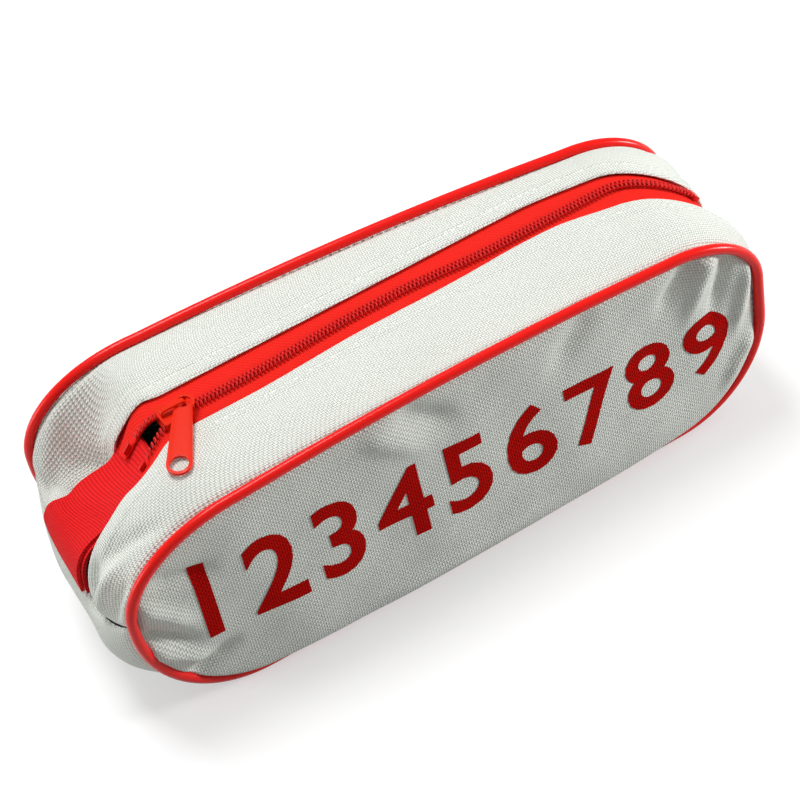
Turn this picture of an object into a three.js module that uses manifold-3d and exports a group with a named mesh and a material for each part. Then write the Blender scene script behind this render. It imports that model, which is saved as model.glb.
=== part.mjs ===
// A zipped fabric pouch that holds a rummy tile game: two sewn side panels edged with piping, a gusset
// round them, a coil zip with its slider and pull, a webbing grab strap over the strap end, and inside
// it the tiles, four nested racks and the folded rules.
// Millimetres. +X runs from the strap end to the far end, -Y is the front, +Z is up, and the origin is
// under the middle of the whole part, on the surface that it rests on.
import * as THREE from "three";
import { mergeVertices } from "three/addons/utils/BufferGeometryUtils.js";
import Module from "manifold-3d";

const wasm = await Module();
wasm.setup();

// Pouch
const LENGTH = 265; // between the centres of the piping at the two ends
const HEIGHT = 89; // between the centres of the piping at top and bottom
const STRAP_END_DEPTH = 95; // between the two pipings, at the strap end
const FAR_END_DEPTH = 70;
const TOP_ARCH = 3.3; // rise of the top piping between its corners
const TOP_STRAP_CORNER = { along: 50, up: 35.5 };
const TOP_FAR_CORNER = { along: 39, up: 29.5 };
const BOTTOM_STRAP_CORNER = { along: 44.5, up: 49.5 };
const BOTTOM_FAR_CORNER = { along: 40, up: 42 };
const PIPING_DIAMETER = 4.2;
const FABRIC = 1.2; // the shell cloth with its lining
const CLEARANCE = 0.3;
const SEAM_GAP = 0.6; // between cloth and piping, whose facets cross
const HINGE_GAP = 0.5; // the flaps that swing stand back this much more
const FLOOR_GAP = 1; // the lowest tiles stand this far above the cloth, which curves up beside them
const FRONT_SWELL = 8.5; // how far the front panel stands out past its piping
const FRONT_SAG = 0.6; // the lower this is, the lower down the panel stands out most
const BACK_SWELL = 5;
const BACK_SAG = 1.2;
const SWELL_ENDS = 3; // how abruptly the swelling dies away towards the ends
// The gusset's crest, midway between the pipings: reach is how far its end seam lies from the middle, at
// the height seam, belly is how much further the bottom gusset stands out, and over and under are corners.
const CREST_STRAP_END = {
  reach: 138,
  seam: 46,
  belly: 3.5,
  over: { along: 49, up: 43 },
  under: { along: 48, up: 34 },
};
const CREST_FAR_END = {
  reach: 135,
  seam: 50,
  belly: 3,
  over: { along: 37, up: 35 },
  under: { along: 42, up: 40 },
};
const PIPING_SEAM = 55.5; // height of the end seams beside the piping
const DENT = 20; // how far the strap draws in the cloth behind the zip's start
const DENT_ALONG = { start: -142, full: -125, level: -112, end: -92 };
const DENT_SEAM_SHARE = 0.05; // share of the top's length in which the dent fades out towards its seam
const DENT_ACROSS = { start: -26, full: 20 };
const FLAT_SHARE = 0.5; // share of the gusset's width that runs level before it turns to the piping

// Zip
const ZIP_OFFSET = 4.5; // the zip's centre line lies this far behind the middle of the pouch
const ZIP_VEER = 12; // and comes forward again by this much round the far end
const FRONT_REVEAL = 8.5; // from the zip's centre line to the folded edge of the front strip
const BACK_REVEAL = 11.5;
const TAPE_WIDTH = 16;
const TAPE_THICKNESS = 0.8;
const TAPE_EDGE = 1.7; // from the centre line to the woven edge of each tape
const COIL_WIDTH = 2.2; // from the centre line to the back of each coil
const COIL_SPINE = 1.4;
const COIL_THICKNESS = 2;
const COIL_PITCH = 2.5;
const TOOTH_WIDTH = 0.6;
const FLAP_START = -78; // the shut zip's flaps part from the sewn ends of the strips here
const FLAP_TEETH = 64;
const START_TEETH = 10;
const END_TEETH = 19;
const PARTING_START = -85; // the two coils draw apart from here to the strap end
const PARTING_SLOPE = 0.38;
const TAPE_START = -107;
const STOP_LENGTH = 3;
const SLOT_START = -86; // the folded edges spread from here to let the strap through
const SLOT_FULL = -113;
const SLOT_EASE = 3; // the front strip stands this much further off the strap where that sinks in

// Slider and pull
const SLIDER_LENGTH = 12;
const SLIDER_WALL = 0.8;
const PLATE = 1;
const SLIDER_CENTRE = -86;
const NOSE_ROUND = 1.6;
const BRIDGE_WIDTH = 1.8;
const BRIDGE_THICKNESS = 1;
const BRIDGE_HEAD = -4.7; // the bridge's two feet, along the slider from its middle
const BRIDGE_TAIL = 4.3;
const PULL_LENGTH = 33; // from the eye's centre to the end of the ring
const PULL_THICKNESS = 1.2;
const PULL_WAIST = 7.6;
const PULL_RING = 9.4; // outside diameter of the round end
const PULL_RING_HOLE = 7;
const PULL_EYE = 8;
const PULL_EYE_HOLE = 5.2;
const PULL_BEND = 10.5; // this far from the eye the pull is clear of the slider's plate
const PULL_DROOP = 0.05; // and slopes down towards the cloth
const PULL_YAW = 62; // degrees that the pull lies turned from the strap end towards the front

// Strap
const STRAP_WIDTH = 36;
const STRAP_THICKNESS = 3; // the webbing is doubled
const STRAP_OFFSET = 2; // its middle, behind the middle of the pouch
const STRAP_TOP = -100;
const STRAP_SEAM = -0.5; // its inner face where it is sewn in, out from the cloth's outer face
const STRAP_RISE_START = -127; // it rises from under the tapes' level to its seam
const STRAP_RISE_END = -138;

// Contents
const TILE = { tall: 30, wide: 22, thick: 6.2 };
const TILE_CORNER = 2;
const TILE_BEVEL = 0.5;
const TILES_IN_RUN = 13;
const TILE_GROOVE = 0.6;
const RACK_LENGTH = 216;
const RACK_SHIFT = 8; // towards the far end, clear of the strap
const RACK_NEST = 5; // how much higher each nested rack sits than the one under it
const RACK_WIDTH = 30;
const RACK_HEIGHT = 14;
const LEAFLET = { long: 140, wide: 60, sheet: 0.4, gap: 0.4 };

// Counts of facets
const ALONG_PANEL = 22;
const UP_PANEL = 6;
const PIPING_STEPS = 52;
const PIPING_SIDES = 8;
const ALONG_BOTTOM = 32;
const ACROSS_BOTTOM = 8;
const STRAIGHT_STEP = 12; // length of the facets along the top
const CURVED_STEP = 5;
const ACROSS_STRIP = 4;
const ACROSS_DENT = 6; // at the strap end
const ROUND = 6;

// Sizes that follow from the ones above
const PIPING_RADIUS = PIPING_DIAMETER / 2;
const SEAM_INSET = PIPING_RADIUS + SEAM_GAP; // cloth stops short of the piping's centre by this
const HALF_LENGTH = LENGTH / 2;
const TOP = PIPING_RADIUS + HEIGHT;
const CREST = TOP + PIPING_RADIUS; // the strips run level at this height beside the zip
const ZIP_SLOPE = (STRAP_END_DEPTH - FAR_END_DEPTH) / 2 / LENGTH; // the zip and the front piping are parallel
const FLAP_END = FLAP_START + FLAP_TEETH * COIL_PITCH;
const COIL_START = FLAP_START - START_TEETH * COIL_PITCH;
const TAPE_TOP = -FABRIC - CLEARANCE; // measured out from the strips' outer face
const TAPE_BOTTOM = TAPE_TOP - TAPE_THICKNESS;
const COIL_BOTTOM = TAPE_TOP + CLEARANCE;
const COIL_TOP = COIL_BOTTOM + COIL_THICKNESS;

// Smooth step from 0 at start to 1 at end.
function ramp(x, start, end) {
  return THREE.MathUtils.smoothstep((x - start) / (end - start), 0, 1);
}

// Depth from the middle of the pouch to the centre of either piping.
function halfDepth(x) {
  return (STRAP_END_DEPTH / 2) - ZIP_SLOPE * (x + HALF_LENGTH);
}

function zipY(x) {
  return ZIP_OFFSET + ZIP_SLOPE * x - ZIP_VEER * ramp(x, FLAP_END + SLIDER_LENGTH, HALF_LENGTH);
}

function parting(x) {
  return PARTING_SLOPE * Math.max(0, PARTING_START - x);
}

// The folded edge of a strip, beside the zip and then beside the strap. side is -1 in front, 1 behind.
function foldY(x, side) {
  const beside = zipY(x) + side * (side < 0 ? FRONT_REVEAL : BACK_REVEAL);
  const ease = side < 0 ? SLOT_EASE * ramp(x, SLOT_FULL, DENT_ALONG.full) : 0;
  const slot = STRAP_OFFSET + side * (STRAP_WIDTH / 2 + CLEARANCE + ease);
  return THREE.MathUtils.lerp(beside, slot, ramp(x, SLOT_START, SLOT_FULL));
}

// Height of the side outline's top and bottom at x, for an outline drawn inwards by inset.
function outlineTop(x, inset) {
  const left = TOP_STRAP_CORNER.along - HALF_LENGTH;
  const right = HALF_LENGTH - TOP_FAR_CORNER.along;
  const share = (x - left) / (right - left);
  if (share < 0) return TOP - inset - cornerDrop(left - x, TOP_STRAP_CORNER, inset);
  if (share > 1) return TOP - inset - cornerDrop(x - right, TOP_FAR_CORNER, inset);
  return TOP - inset + 4 * TOP_ARCH * share * (1 - share);
}

function outlineBottom(x, inset) {
  const left = BOTTOM_STRAP_CORNER.along - HALF_LENGTH;
  const right = HALF_LENGTH - BOTTOM_FAR_CORNER.along;
  const past = x < left ? left - x : Math.max(0, x - right);
  const corner = x < left ? BOTTOM_STRAP_CORNER : BOTTOM_FAR_CORNER;
  return PIPING_RADIUS + inset + cornerDrop(past, corner, inset);
}

function cornerDrop(past, corner, inset) {
  const share = Math.min(1, past / (corner.along - inset));
  return (corner.up - inset) * (1 - Math.sqrt(1 - share * share));
}

// How far the strap draws the top of the pouch down.
function dent(x, y) {
  const along = ramp(x, DENT_ALONG.start, DENT_ALONG.full) * ramp(x, DENT_ALONG.end, DENT_ALONG.level);
  const across = ramp(y, DENT_ACROSS.start, DENT_ACROSS.full);
  return DENT * along * across * ramp(y, halfDepth(x), halfDepth(x) - STRAP_WIDTH / 2);
}

// The rails that the gusset is lofted between, each as a path in X and Z from the strap end to the far
// end: the piping's centre line, and the crest line midway between the two pipings.
function topRail({ strap, far, top, arch }) {
  const [left, right] = [strap.over.along - strap.reach, far.reach - far.over.along];
  const rail = new THREE.Path().moveTo(-strap.reach, strap.seam).lineTo(-strap.reach, top - strap.over.up);
  rail.absellipse(left, top - strap.over.up, strap.over.along, strap.over.up, Math.PI, Math.PI / 2, true);
  rail.quadraticCurveTo((left + right) / 2, top + 2 * arch, right, top);
  rail.absellipse(right, top - far.over.up, far.over.along, far.over.up, Math.PI / 2, 0, true);
  return rail.lineTo(far.reach, far.seam);
}

function bottomRail({ strap, far, bottom }) {
  const [strapBelly, farBelly] = [-strap.reach - strap.belly, far.reach + far.belly];
  const rail = new THREE.Path().moveTo(-strap.reach, strap.seam);
  rail.quadraticCurveTo(strapBelly, strap.seam, strapBelly, bottom + strap.under.up);
  const corner = (x, { along, up }, start) =>
    rail.absellipse(x, bottom + up, along, up, start, start + Math.PI / 2, false);
  corner(strapBelly + strap.under.along, strap.under, Math.PI);
  corner(farBelly - far.under.along, far.under, 1.5 * Math.PI);
  return rail.quadraticCurveTo(farBelly, far.seam, far.reach, far.seam);
}

function pipingEnd(over, under) {
  return { reach: HALF_LENGTH, seam: PIPING_SEAM, belly: 0, over, under };
}

const edges = {
  strap: pipingEnd(TOP_STRAP_CORNER, BOTTOM_STRAP_CORNER),
  far: pipingEnd(TOP_FAR_CORNER, BOTTOM_FAR_CORNER),
  top: TOP,
  arch: TOP_ARCH,
  bottom: PIPING_RADIUS,
};
const crest = { strap: CREST_STRAP_END, far: CREST_FAR_END, top: CREST, arch: 0, bottom: 0 };
const topRails = { edge: topRail(edges), crest: topRail(crest), outward: 1 };
const bottomRails = { edge: bottomRail(edges), crest: bottomRail(crest), outward: -1 };

// A point of the gusset: share runs along the rails, y across, and out is measured outwards.
function skin(rails, share, y, out) {
  const edge = rails.edge.getPointAt(share);
  const across = Math.abs(y) / halfDepth(edge.x);
  const turned = Math.max(0, (across - FLAT_SHARE) / (1 - FLAT_SHARE));
  const place = edge.lerp(rails.crest.getPointAt(share), 1 - turned * turned);
  const along = rails.crest.getTangentAt(share).multiplyScalar(rails.outward);
  const sunk = rails.outward > 0 ? dent(place.x, y) * ramp(share, 0, DENT_SEAM_SHARE) : 0;
  return new THREE.Vector3(place.x - along.y * out, y, place.y + along.x * out - sunk);
}

// Share of the crest rail's length at which it reaches x, going from the strap end.
function shareAtX(x) {
  let low = 0;
  let high = 1;
  for (let i = 0; i < 40; i++) {
    const middle = (low + high) / 2;
    if (topRails.crest.getPointAt(middle).x < x) low = middle;
    else high = middle;
  }
  return low;
}

const TOP_RUN = topRails.crest.getLength();
const flapStartShare = shareAtX(FLAP_START);
const flapEndShare = shareAtX(FLAP_END);

// Shapes
function finished(positions, index) {
  const raw = new THREE.BufferGeometry();
  raw.setAttribute("position", new THREE.Float32BufferAttribute(positions, 3));
  raw.setIndex(index);
  const geometry = mergeVertices(raw, CLEARANCE / 300);
  const place = geometry.getAttribute("position");
  const order = geometry.getIndex();
  const corners = [new THREE.Vector3(), new THREE.Vector3(), new THREE.Vector3()];
  let volume = 0;
  for (let i = 0; i < order.count; i += 3) {
    corners.forEach((corner, j) => corner.fromBufferAttribute(place, order.getX(i + j)));
    volume += corners[0].dot(corners[1].cross(corners[2]));
  }
  if (volume < 0) {
    for (let i = 0; i < order.count; i += 3) {
      const first = order.getX(i);
      order.setX(i, order.getX(i + 1));
      order.setX(i + 1, first);
    }
  }
  return geometry;
}

// A closed sheet: point(i, j, side) gives its outer face with side 0 and its inner face with side 1.
function sheet(columns, rows, point) {
  const positions = [];
  const index = [];
  const at = (i, j, side) => (side * (columns + 1) + i) * (rows + 1) + j;
  const quad = (a, b, c, d) => index.push(a, b, c, a, c, d);
  for (const side of [0, 1]) {
    for (let i = 0; i <= columns; i++) {
      for (let j = 0; j <= rows; j++) positions.push(...point(i / columns, j / rows, side).toArray());
    }
  }
  for (let i = 0; i < columns; i++) {
    for (let j = 0; j < rows; j++) {
      quad(at(i, j, 0), at(i + 1, j, 0), at(i + 1, j + 1, 0), at(i, j + 1, 0));
      quad(at(i, j, 1), at(i, j + 1, 1), at(i + 1, j + 1, 1), at(i + 1, j, 1));
    }
    quad(at(i, 0, 0), at(i, 0, 1), at(i + 1, 0, 1), at(i + 1, 0, 0));
    quad(at(i, rows, 0), at(i + 1, rows, 0), at(i + 1, rows, 1), at(i, rows, 1));
  }
  for (let j = 0; j < rows; j++) {
    quad(at(0, j, 0), at(0, j + 1, 0), at(0, j + 1, 1), at(0, j, 1));
    quad(at(columns, j, 0), at(columns, j, 1), at(columns, j + 1, 1), at(columns, j + 1, 0));
  }
  return finished(positions, index);
}

// A solid lofted through loops of points, with flat ends.
function loft(loops) {
  const sides = loops[0].length;
  const positions = loops.flat().flatMap((point) => point.toArray());
  const index = [];
  for (let i = 0; i + 1 < loops.length; i++) {
    for (let j = 0; j < sides; j++) {
      const a = i * sides + j;
      const b = i * sides + ((j + 1) % sides);
      index.push(a, b, b + sides, a, b + sides, a + sides);
    }
  }
  const last = (loops.length - 1) * sides;
  for (let j = 1; j + 1 < sides; j++) index.push(0, j + 1, j, last, last + j, last + j + 1);
  return finished(positions, index);
}

// A flat solid of four-cornered cells that share whole edges, with walls round their outline.
function plate(cells, thickness) {
  const positions = [];
  const index = [];
  const rim = new Map();
  const quad = (...corners) => {
    const first = positions.length / 3;
    for (const [x, y, z] of corners) positions.push(x, y, z);
    index.push(first, first + 1, first + 2, first, first + 2, first + 3);
  };
  for (const cell of cells) {
    quad(...cell.map(([x, y]) => [x, y, thickness]));
    quad(...cell.map(([x, y]) => [x, y, 0]).reverse());
    cell.forEach((from, i) => {
      const to = cell[(i + 1) % cell.length];
      if (!rim.delete(`${to} ${from}`)) rim.set(`${from} ${to}`, [from, to]);
    });
  }
  for (const [[x0, y0], [x1, y1]] of rim.values()) {
    quad([x0, y0, 0], [x1, y1, 0], [x1, y1, thickness], [x0, y0, thickness]);
  }
  return finished(positions, index);
}

// The same solid with each of its points moved by place(x, y, z).
function moved(geometry, place) {
  const bare = geometry.index ? geometry.toNonIndexed() : geometry;
  const from = bare.getAttribute("position");
  const positions = [];
  const index = [];
  for (let i = 0; i < from.count; i++) {
    positions.push(...place(from.getX(i), from.getY(i), from.getZ(i)).toArray());
    index.push(i);
  }
  return finished(positions, index);
}

function solid(geometry) {
  const bare = geometry.clone();
  bare.deleteAttribute("normal");
  bare.deleteAttribute("uv");
  const merged = mergeVertices(bare);
  return new wasm.Manifold(
    new wasm.Mesh({
      numProp: 3,
      vertProperties: merged.getAttribute("position").array,
      triVerts: new Uint32Array(merged.getIndex().array),
    }),
  );
}

function geometryOf(manifold) {
  const mesh = manifold.getMesh();
  return new THREE.BufferGeometry()
    .setAttribute("position", new THREE.BufferAttribute(mesh.vertProperties, 3))
    .setIndex(new THREE.BufferAttribute(mesh.triVerts, 1));
}

function extruded(shape, depth, options = {}) {
  return new THREE.ExtrudeGeometry(shape, { depth, bevelEnabled: false, curveSegments: ROUND, ...options });
}

// Materials
function material(color, roughness, metalness = 0) {
  return new THREE.MeshStandardMaterial({ color, roughness, metalness });
}
const cloth = material(0xc9cfc9, 0.95);
const pipingVinyl = material(0xd81e18, 0.35);
const zipTape = material(0xe02418, 0.85);
const coilNylon = material(0xb81410, 0.5);
const lacquer = material(0xd92a18, 0.3, 0.2);
const webbing = material(0xcf1420, 0.8);
const tilePlastic = material(0xf0e8d4, 0.35);
const rackPlastic = material(0x2f7d4b, 0.45);
const paper = material(0xf4f2ea, 0.9);

const pouch = new THREE.Group();

function add(name, geometry, finish) {
  const mesh = new THREE.Mesh(geometry, finish);
  mesh.name = name;
  pouch.add(mesh);
  return mesh;
}

// Side panels: columns between the top and bottom of the outline, which swell out past the piping.
function panel(side, swell, sag) {
  const reach = HALF_LENGTH - SEAM_INSET;
  return sheet(ALONG_PANEL, UP_PANEL, (i, j, face) => {
    const x = -reach * Math.cos(Math.PI * i);
    const low = outlineBottom(x, SEAM_INSET);
    const z = low + j * j * (outlineTop(x, SEAM_INSET) - low);
    const bulge = swell * (1 - Math.abs(x / reach) ** SWELL_ENDS) * Math.sin(Math.PI * j ** sag);
    return new THREE.Vector3(x, side * (halfDepth(x) + bulge - face * FABRIC), z);
  });
}
add("front_panel", panel(-1, FRONT_SWELL, FRONT_SAG), cloth);
add("back_panel", panel(1, BACK_SWELL, BACK_SAG), cloth);

// Piping: a round cord along the outline, whose ends butt at the middle of the bottom.
function piping(side) {
  const top = topRails.edge.getSpacedPoints(PIPING_STEPS);
  const bottom = bottomRails.edge.getSpacedPoints(PIPING_STEPS);
  const far = bottom.filter((point) => point.x > PIPING_RADIUS).reverse();
  const near = bottom.filter((point) => point.x < -PIPING_RADIUS).reverse();
  const ends = [-CLEARANCE, CLEARANCE].map((x) => new THREE.Vector2(x, PIPING_RADIUS));
  const loop = [ends[0], ...near, ...top.slice(1, -1), ...far, ends[1]];
  const route = loop.map((point) => new THREE.Vector3(point.x, side * halfDepth(point.x), point.y));
  const section = new THREE.Shape().absarc(0, 0, PIPING_RADIUS, 0, 2 * Math.PI);
  return extruded(section, 0, {
    steps: PIPING_STEPS,
    curveSegments: PIPING_SIDES / 2,
    extrudePath: new THREE.CatmullRomCurve3(route),
  });
}
add("front_piping", piping(-1), pipingVinyl);
add("back_piping", piping(1), pipingVinyl);

// Bottom gusset: from end seam to end seam, with a flat underside.
function bottomGusset() {
  const gap = SEAM_GAP / bottomRails.crest.getLength();
  return sheet(ALONG_BOTTOM, ACROSS_BOTTOM, (i, j, face) => {
    const share = gap + i * (1 - 2 * gap);
    const reach = halfDepth(bottomRails.edge.getPointAt(share).x) - SEAM_INSET;
    return skin(bottomRails, share, reach * (2 * j - 1), -face * FABRIC);
  });
}
add("bottom_gusset", bottomGusset(), cloth);

// The three stretches of the top: sewn at the strap end, free beside the zip, sewn at the far end.
const seamGap = CLEARANCE / TOP_RUN;
const stretches = [
  {
    name: "strap_end",
    from: seamGap,
    to: flapStartShare - seamGap,
    step: CURVED_STEP,
    inset: SEAM_INSET,
    rows: ACROSS_DENT,
  },
  {
    name: "flap",
    from: flapStartShare,
    to: flapEndShare,
    step: STRAIGHT_STEP,
    inset: SEAM_INSET + HINGE_GAP,
    rows: ACROSS_STRIP,
  },
  {
    name: "far_end",
    from: flapEndShare + seamGap,
    to: 1 - seamGap,
    step: CURVED_STEP,
    inset: SEAM_INSET,
    rows: ACROSS_STRIP,
  },
];

function strip(side, { from, to, step, inset, rows }) {
  const columns = Math.ceil(((to - from) * TOP_RUN) / step);
  return sheet(columns, rows, (i, j, face) => {
    const share = from + i * (to - from);
    const outer = side * (halfDepth(topRails.edge.getPointAt(share).x) - inset);
    const inner = foldY(topRails.crest.getPointAt(share).x, side);
    return skin(topRails, share, THREE.MathUtils.lerp(outer, inner, j), -face * FABRIC);
  });
}

const tapeStartShare = shareAtX(TAPE_START);

function tape(side, { from, to, step, rows }) {
  const start = Math.max(from, tapeStartShare);
  const columns = Math.ceil(((to - start) * TOP_RUN) / step);
  return sheet(columns, rows / 2, (i, j, face) => {
    const share = start + i * (to - start);
    const x = topRails.crest.getPointAt(share).x;
    const edge = TAPE_EDGE + parting(x);
    const y = zipY(x) + side * THREE.MathUtils.lerp(edge, TAPE_WIDTH, j);
    return skin(topRails, share, y, TAPE_TOP - face * TAPE_THICKNESS);
  });
}

// Coil: a spine with a row of teeth that reach past the centre line into the gaps of the other coil.
function coil(side, start, teeth) {
  const reach = COIL_WIDTH - COIL_SPINE;
  const tip = CLEARANCE - reach;
  const phase = side < 0 ? 0.25 : 0.75;
  const stations = [CLEARANCE / 2];
  const cells = [];
  const cell = (x0, x1, y0, y1) => cells.push([[x0, y0], [x1, y0], [x1, y1], [x0, y1]]);
  for (let i = 0; i < teeth; i++) {
    const middle = (i + phase) * COIL_PITCH;
    stations.push(middle - TOOTH_WIDTH / 2, middle + TOOTH_WIDTH / 2);
    cell(middle - TOOTH_WIDTH / 2, middle + TOOTH_WIDTH / 2, tip, reach);
  }
  stations.push(teeth * COIL_PITCH - CLEARANCE / 2);
  for (let i = 1; i < stations.length; i++) cell(stations[i - 1], stations[i], reach, COIL_WIDTH);
  return onZip(plate(cells, COIL_THICKNESS), side, start, COIL_BOTTOM);
}

// Lays a flat solid along the zip: its X runs from the share start, its Y goes out from the centre line
// on one side, and its Z outwards from the height bottom.
function onZip(geometry, side, start, bottom) {
  return moved(geometry, (along, across, up) => {
    const share = start + along / TOP_RUN;
    const x = topRails.crest.getPointAt(share).x;
    return skin(topRails, share, zipY(x) + side * (across + parting(x)), bottom + up);
  });
}

const coilStartShare = shareAtX(COIL_START);
const coilRuns = { strap_end: [coilStartShare, START_TEETH], flap: [flapStartShare, FLAP_TEETH] };
coilRuns.far_end = [flapEndShare, END_TEETH];

for (const [name, side] of [["front", -1], ["back", 1]]) {
  for (const stretch of stretches) {
    const [start, teeth] = coilRuns[stretch.name];
    add(`${name}_strip_${stretch.name}`, strip(side, stretch), cloth);
    add(`${name}_tape_${stretch.name}`, tape(side, stretch), zipTape);
    add(`${name}_coil_${stretch.name}`, coil(side, start, teeth), coilNylon);
  }
}

// Stops: one clamped on each tape at the strap end, and one across both tapes at the far end.
function topStop(side) {
  const inner = COIL_WIDTH - COIL_SPINE;
  const stop = new THREE.Shape();
  stop.moveTo(-STOP_LENGTH - CLEARANCE, inner).lineTo(-CLEARANCE, inner);
  stop.lineTo(-CLEARANCE, COIL_WIDTH).lineTo(-STOP_LENGTH - CLEARANCE, COIL_WIDTH);
  return onZip(extruded(stop, COIL_THICKNESS), side, coilStartShare, COIL_BOTTOM);
}
add("front_top_stop", topStop(-1), lacquer);
add("back_top_stop", topStop(1), lacquer);

function bottomStop() {
  const stop = new THREE.Shape();
  stop.moveTo(CLEARANCE, -COIL_WIDTH).lineTo(CLEARANCE + STOP_LENGTH, -COIL_WIDTH);
  stop.lineTo(CLEARANCE + STOP_LENGTH, COIL_WIDTH).lineTo(CLEARANCE, COIL_WIDTH);
  const end = flapEndShare + (END_TEETH * COIL_PITCH) / TOP_RUN;
  return onZip(extruded(stop, COIL_THICKNESS), 1, end, COIL_BOTTOM);
}
add("bottom_stop", bottomStop(), lacquer);

// Slider. Along its own X the head is at the negative end. A Y-shaped channel runs through it, whose two
// arms pass either side of the wedge that joins the upper plate to the lower one.
function sliderShape(margin, overrun) {
  const tail = SLIDER_LENGTH / 2 + overrun;
  const fork = PARTING_START - SLIDER_CENTRE;
  const narrow = COIL_WIDTH + CLEARANCE + margin;
  const wide = narrow + PARTING_SLOPE * (fork + tail);
  const shape = new THREE.Shape().moveTo(tail, -narrow).lineTo(tail, narrow).lineTo(fork, narrow);
  if (overrun) return shape.lineTo(-tail, wide).lineTo(-tail, -wide).lineTo(fork, -narrow);
  const shoulder = wide - PARTING_SLOPE * NOSE_ROUND;
  shape.lineTo(NOSE_ROUND - tail, shoulder);
  shape.quadraticCurveTo(-tail, wide, -tail, wide - 2 * NOSE_ROUND);
  shape.lineTo(-tail, 2 * NOSE_ROUND - wide);
  shape.quadraticCurveTo(-tail, -wide, NOSE_ROUND - tail, -shoulder);
  return shape.lineTo(fork, -narrow);
}

const PLATE_GAP_BOTTOM = TAPE_BOTTOM - CLEARANCE;
const PLATE_GAP_TOP = COIL_TOP + CLEARANCE;
const FLANGE_BOTTOM = TAPE_TOP + CLEARANCE;
const PULL_BOTTOM = PLATE_GAP_TOP + PLATE + CLEARANCE;
const BRIDGE_BOTTOM = PULL_BOTTOM + PULL_THICKNESS + CLEARANCE;
const CUT = SLIDER_LENGTH; // overrun of the cuts through the slider

function slab(shape, low, high) {
  return solid(extruded(shape, high - low).translate(0, 0, low));
}

function rectangle(halfLength, halfWidth) {
  const corners = [[-1, -1], [1, -1], [1, 1], [-1, 1]];
  return new THREE.Shape(corners.map(([x, y]) => new THREE.Vector2(x * halfLength, y * halfWidth)));
}

function wedge() {
  const head = -SLIDER_LENGTH / 2 + SLIDER_WALL / 2;
  const tooth = COIL_WIDTH - COIL_SPINE;
  const fork = PARTING_START - SLIDER_CENTRE;
  const tip = fork - (tooth + CLEARANCE + CLEARANCE) / PARTING_SLOPE;
  const broad = PARTING_SLOPE * (fork - head) - tooth - CLEARANCE;
  const shape = new THREE.Shape().moveTo(tip, -CLEARANCE).lineTo(tip, CLEARANCE).lineTo(head, broad);
  return shape.lineTo(head, -broad);
}

// The bridge: an arch in the slider's long plane, under which the pull's eye passes.
function bridge() {
  const crown = BRIDGE_BOTTOM + BRIDGE_THICKNESS;
  const foot = PLATE_GAP_TOP + PLATE / 2;
  const head = BRIDGE_HEAD - BRIDGE_THICKNESS / 2;
  const tail = BRIDGE_TAIL + BRIDGE_THICKNESS / 2;
  const bend = (crown - foot) / 2;
  const arch = new THREE.Shape().moveTo(head, foot).lineTo(head, crown - bend);
  arch.quadraticCurveTo(head, crown, head + bend, crown).lineTo(tail - bend, crown);
  arch.quadraticCurveTo(tail, crown, tail, crown - bend).lineTo(tail, foot);
  arch.lineTo(tail - BRIDGE_THICKNESS, foot).lineTo(tail - BRIDGE_THICKNESS, BRIDGE_BOTTOM);
  arch.lineTo(head + BRIDGE_THICKNESS, BRIDGE_BOTTOM).lineTo(head + BRIDGE_THICKNESS, foot);
  const flat = extruded(arch, BRIDGE_WIDTH).translate(0, 0, -BRIDGE_WIDTH / 2);
  return solid(flat.rotateX(Math.PI / 2));
}

function slider() {
  const body = slab(sliderShape(SLIDER_WALL, 0), PLATE_GAP_BOTTOM - PLATE, PLATE_GAP_TOP + PLATE);
  const channel = slab(sliderShape(0, CUT), PLATE_GAP_BOTTOM, PLATE_GAP_TOP);
  const tapeSlot = slab(rectangle(CUT, CUT), PLATE_GAP_BOTTOM, FLANGE_BOTTOM);
  const post = slab(wedge(), PLATE_GAP_BOTTOM - PLATE / 2, PLATE_GAP_TOP + PLATE / 2);
  return geometryOf(body.subtract(channel).subtract(tapeSlot).add(post).add(bridge()));
}

// The pull: a flat tapered tab with a small eye at one end and a round ring at the other.
function pull() {
  const eye = PULL_EYE / 2;
  const ring = PULL_RING / 2;
  const end = PULL_LENGTH - ring;
  const tab = new THREE.Shape().absarc(0, 0, eye, 0.3 * Math.PI, 1.7 * Math.PI);
  tab.lineTo(PULL_BEND, -PULL_WAIST / 2);
  tab.absarc(end, 0, ring, -Math.PI / 2, Math.PI / 2);
  tab.lineTo(PULL_BEND, PULL_WAIST / 2);
  const openings = [[0, PULL_EYE_HOLE], [end, PULL_RING_HOLE]];
  for (const [x, width] of openings) {
    tab.holes.push(new THREE.Path().absarc(x, 0, width / 2, 0, 2 * Math.PI, true));
  }
  const fall = (x) => PULL_DROOP * Math.max(0, x - PULL_BEND);
  return moved(extruded(tab, PULL_THICKNESS), (x, y, z) => new THREE.Vector3(x, y, z - fall(x)));
}

// The slider stands on the straight run of the zip, turned to lie along it, and the pull's eye is round
// the bridge's tail foot.
const zipTurn = Math.atan(ZIP_SLOPE);
const sliderMesh = add("zip_slider", slider(), lacquer);
sliderMesh.position.set(SLIDER_CENTRE, zipY(SLIDER_CENTRE), CREST);
sliderMesh.rotation.z = zipTurn;
const pullMesh = add("zip_pull", pull(), lacquer);
const tailFoot = SLIDER_CENTRE + BRIDGE_TAIL * Math.cos(zipTurn);
pullMesh.position.set(tailFoot, zipY(tailFoot), CREST + PULL_BOTTOM);
pullMesh.rotation.z = Math.PI + THREE.MathUtils.degToRad(PULL_YAW);

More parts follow.
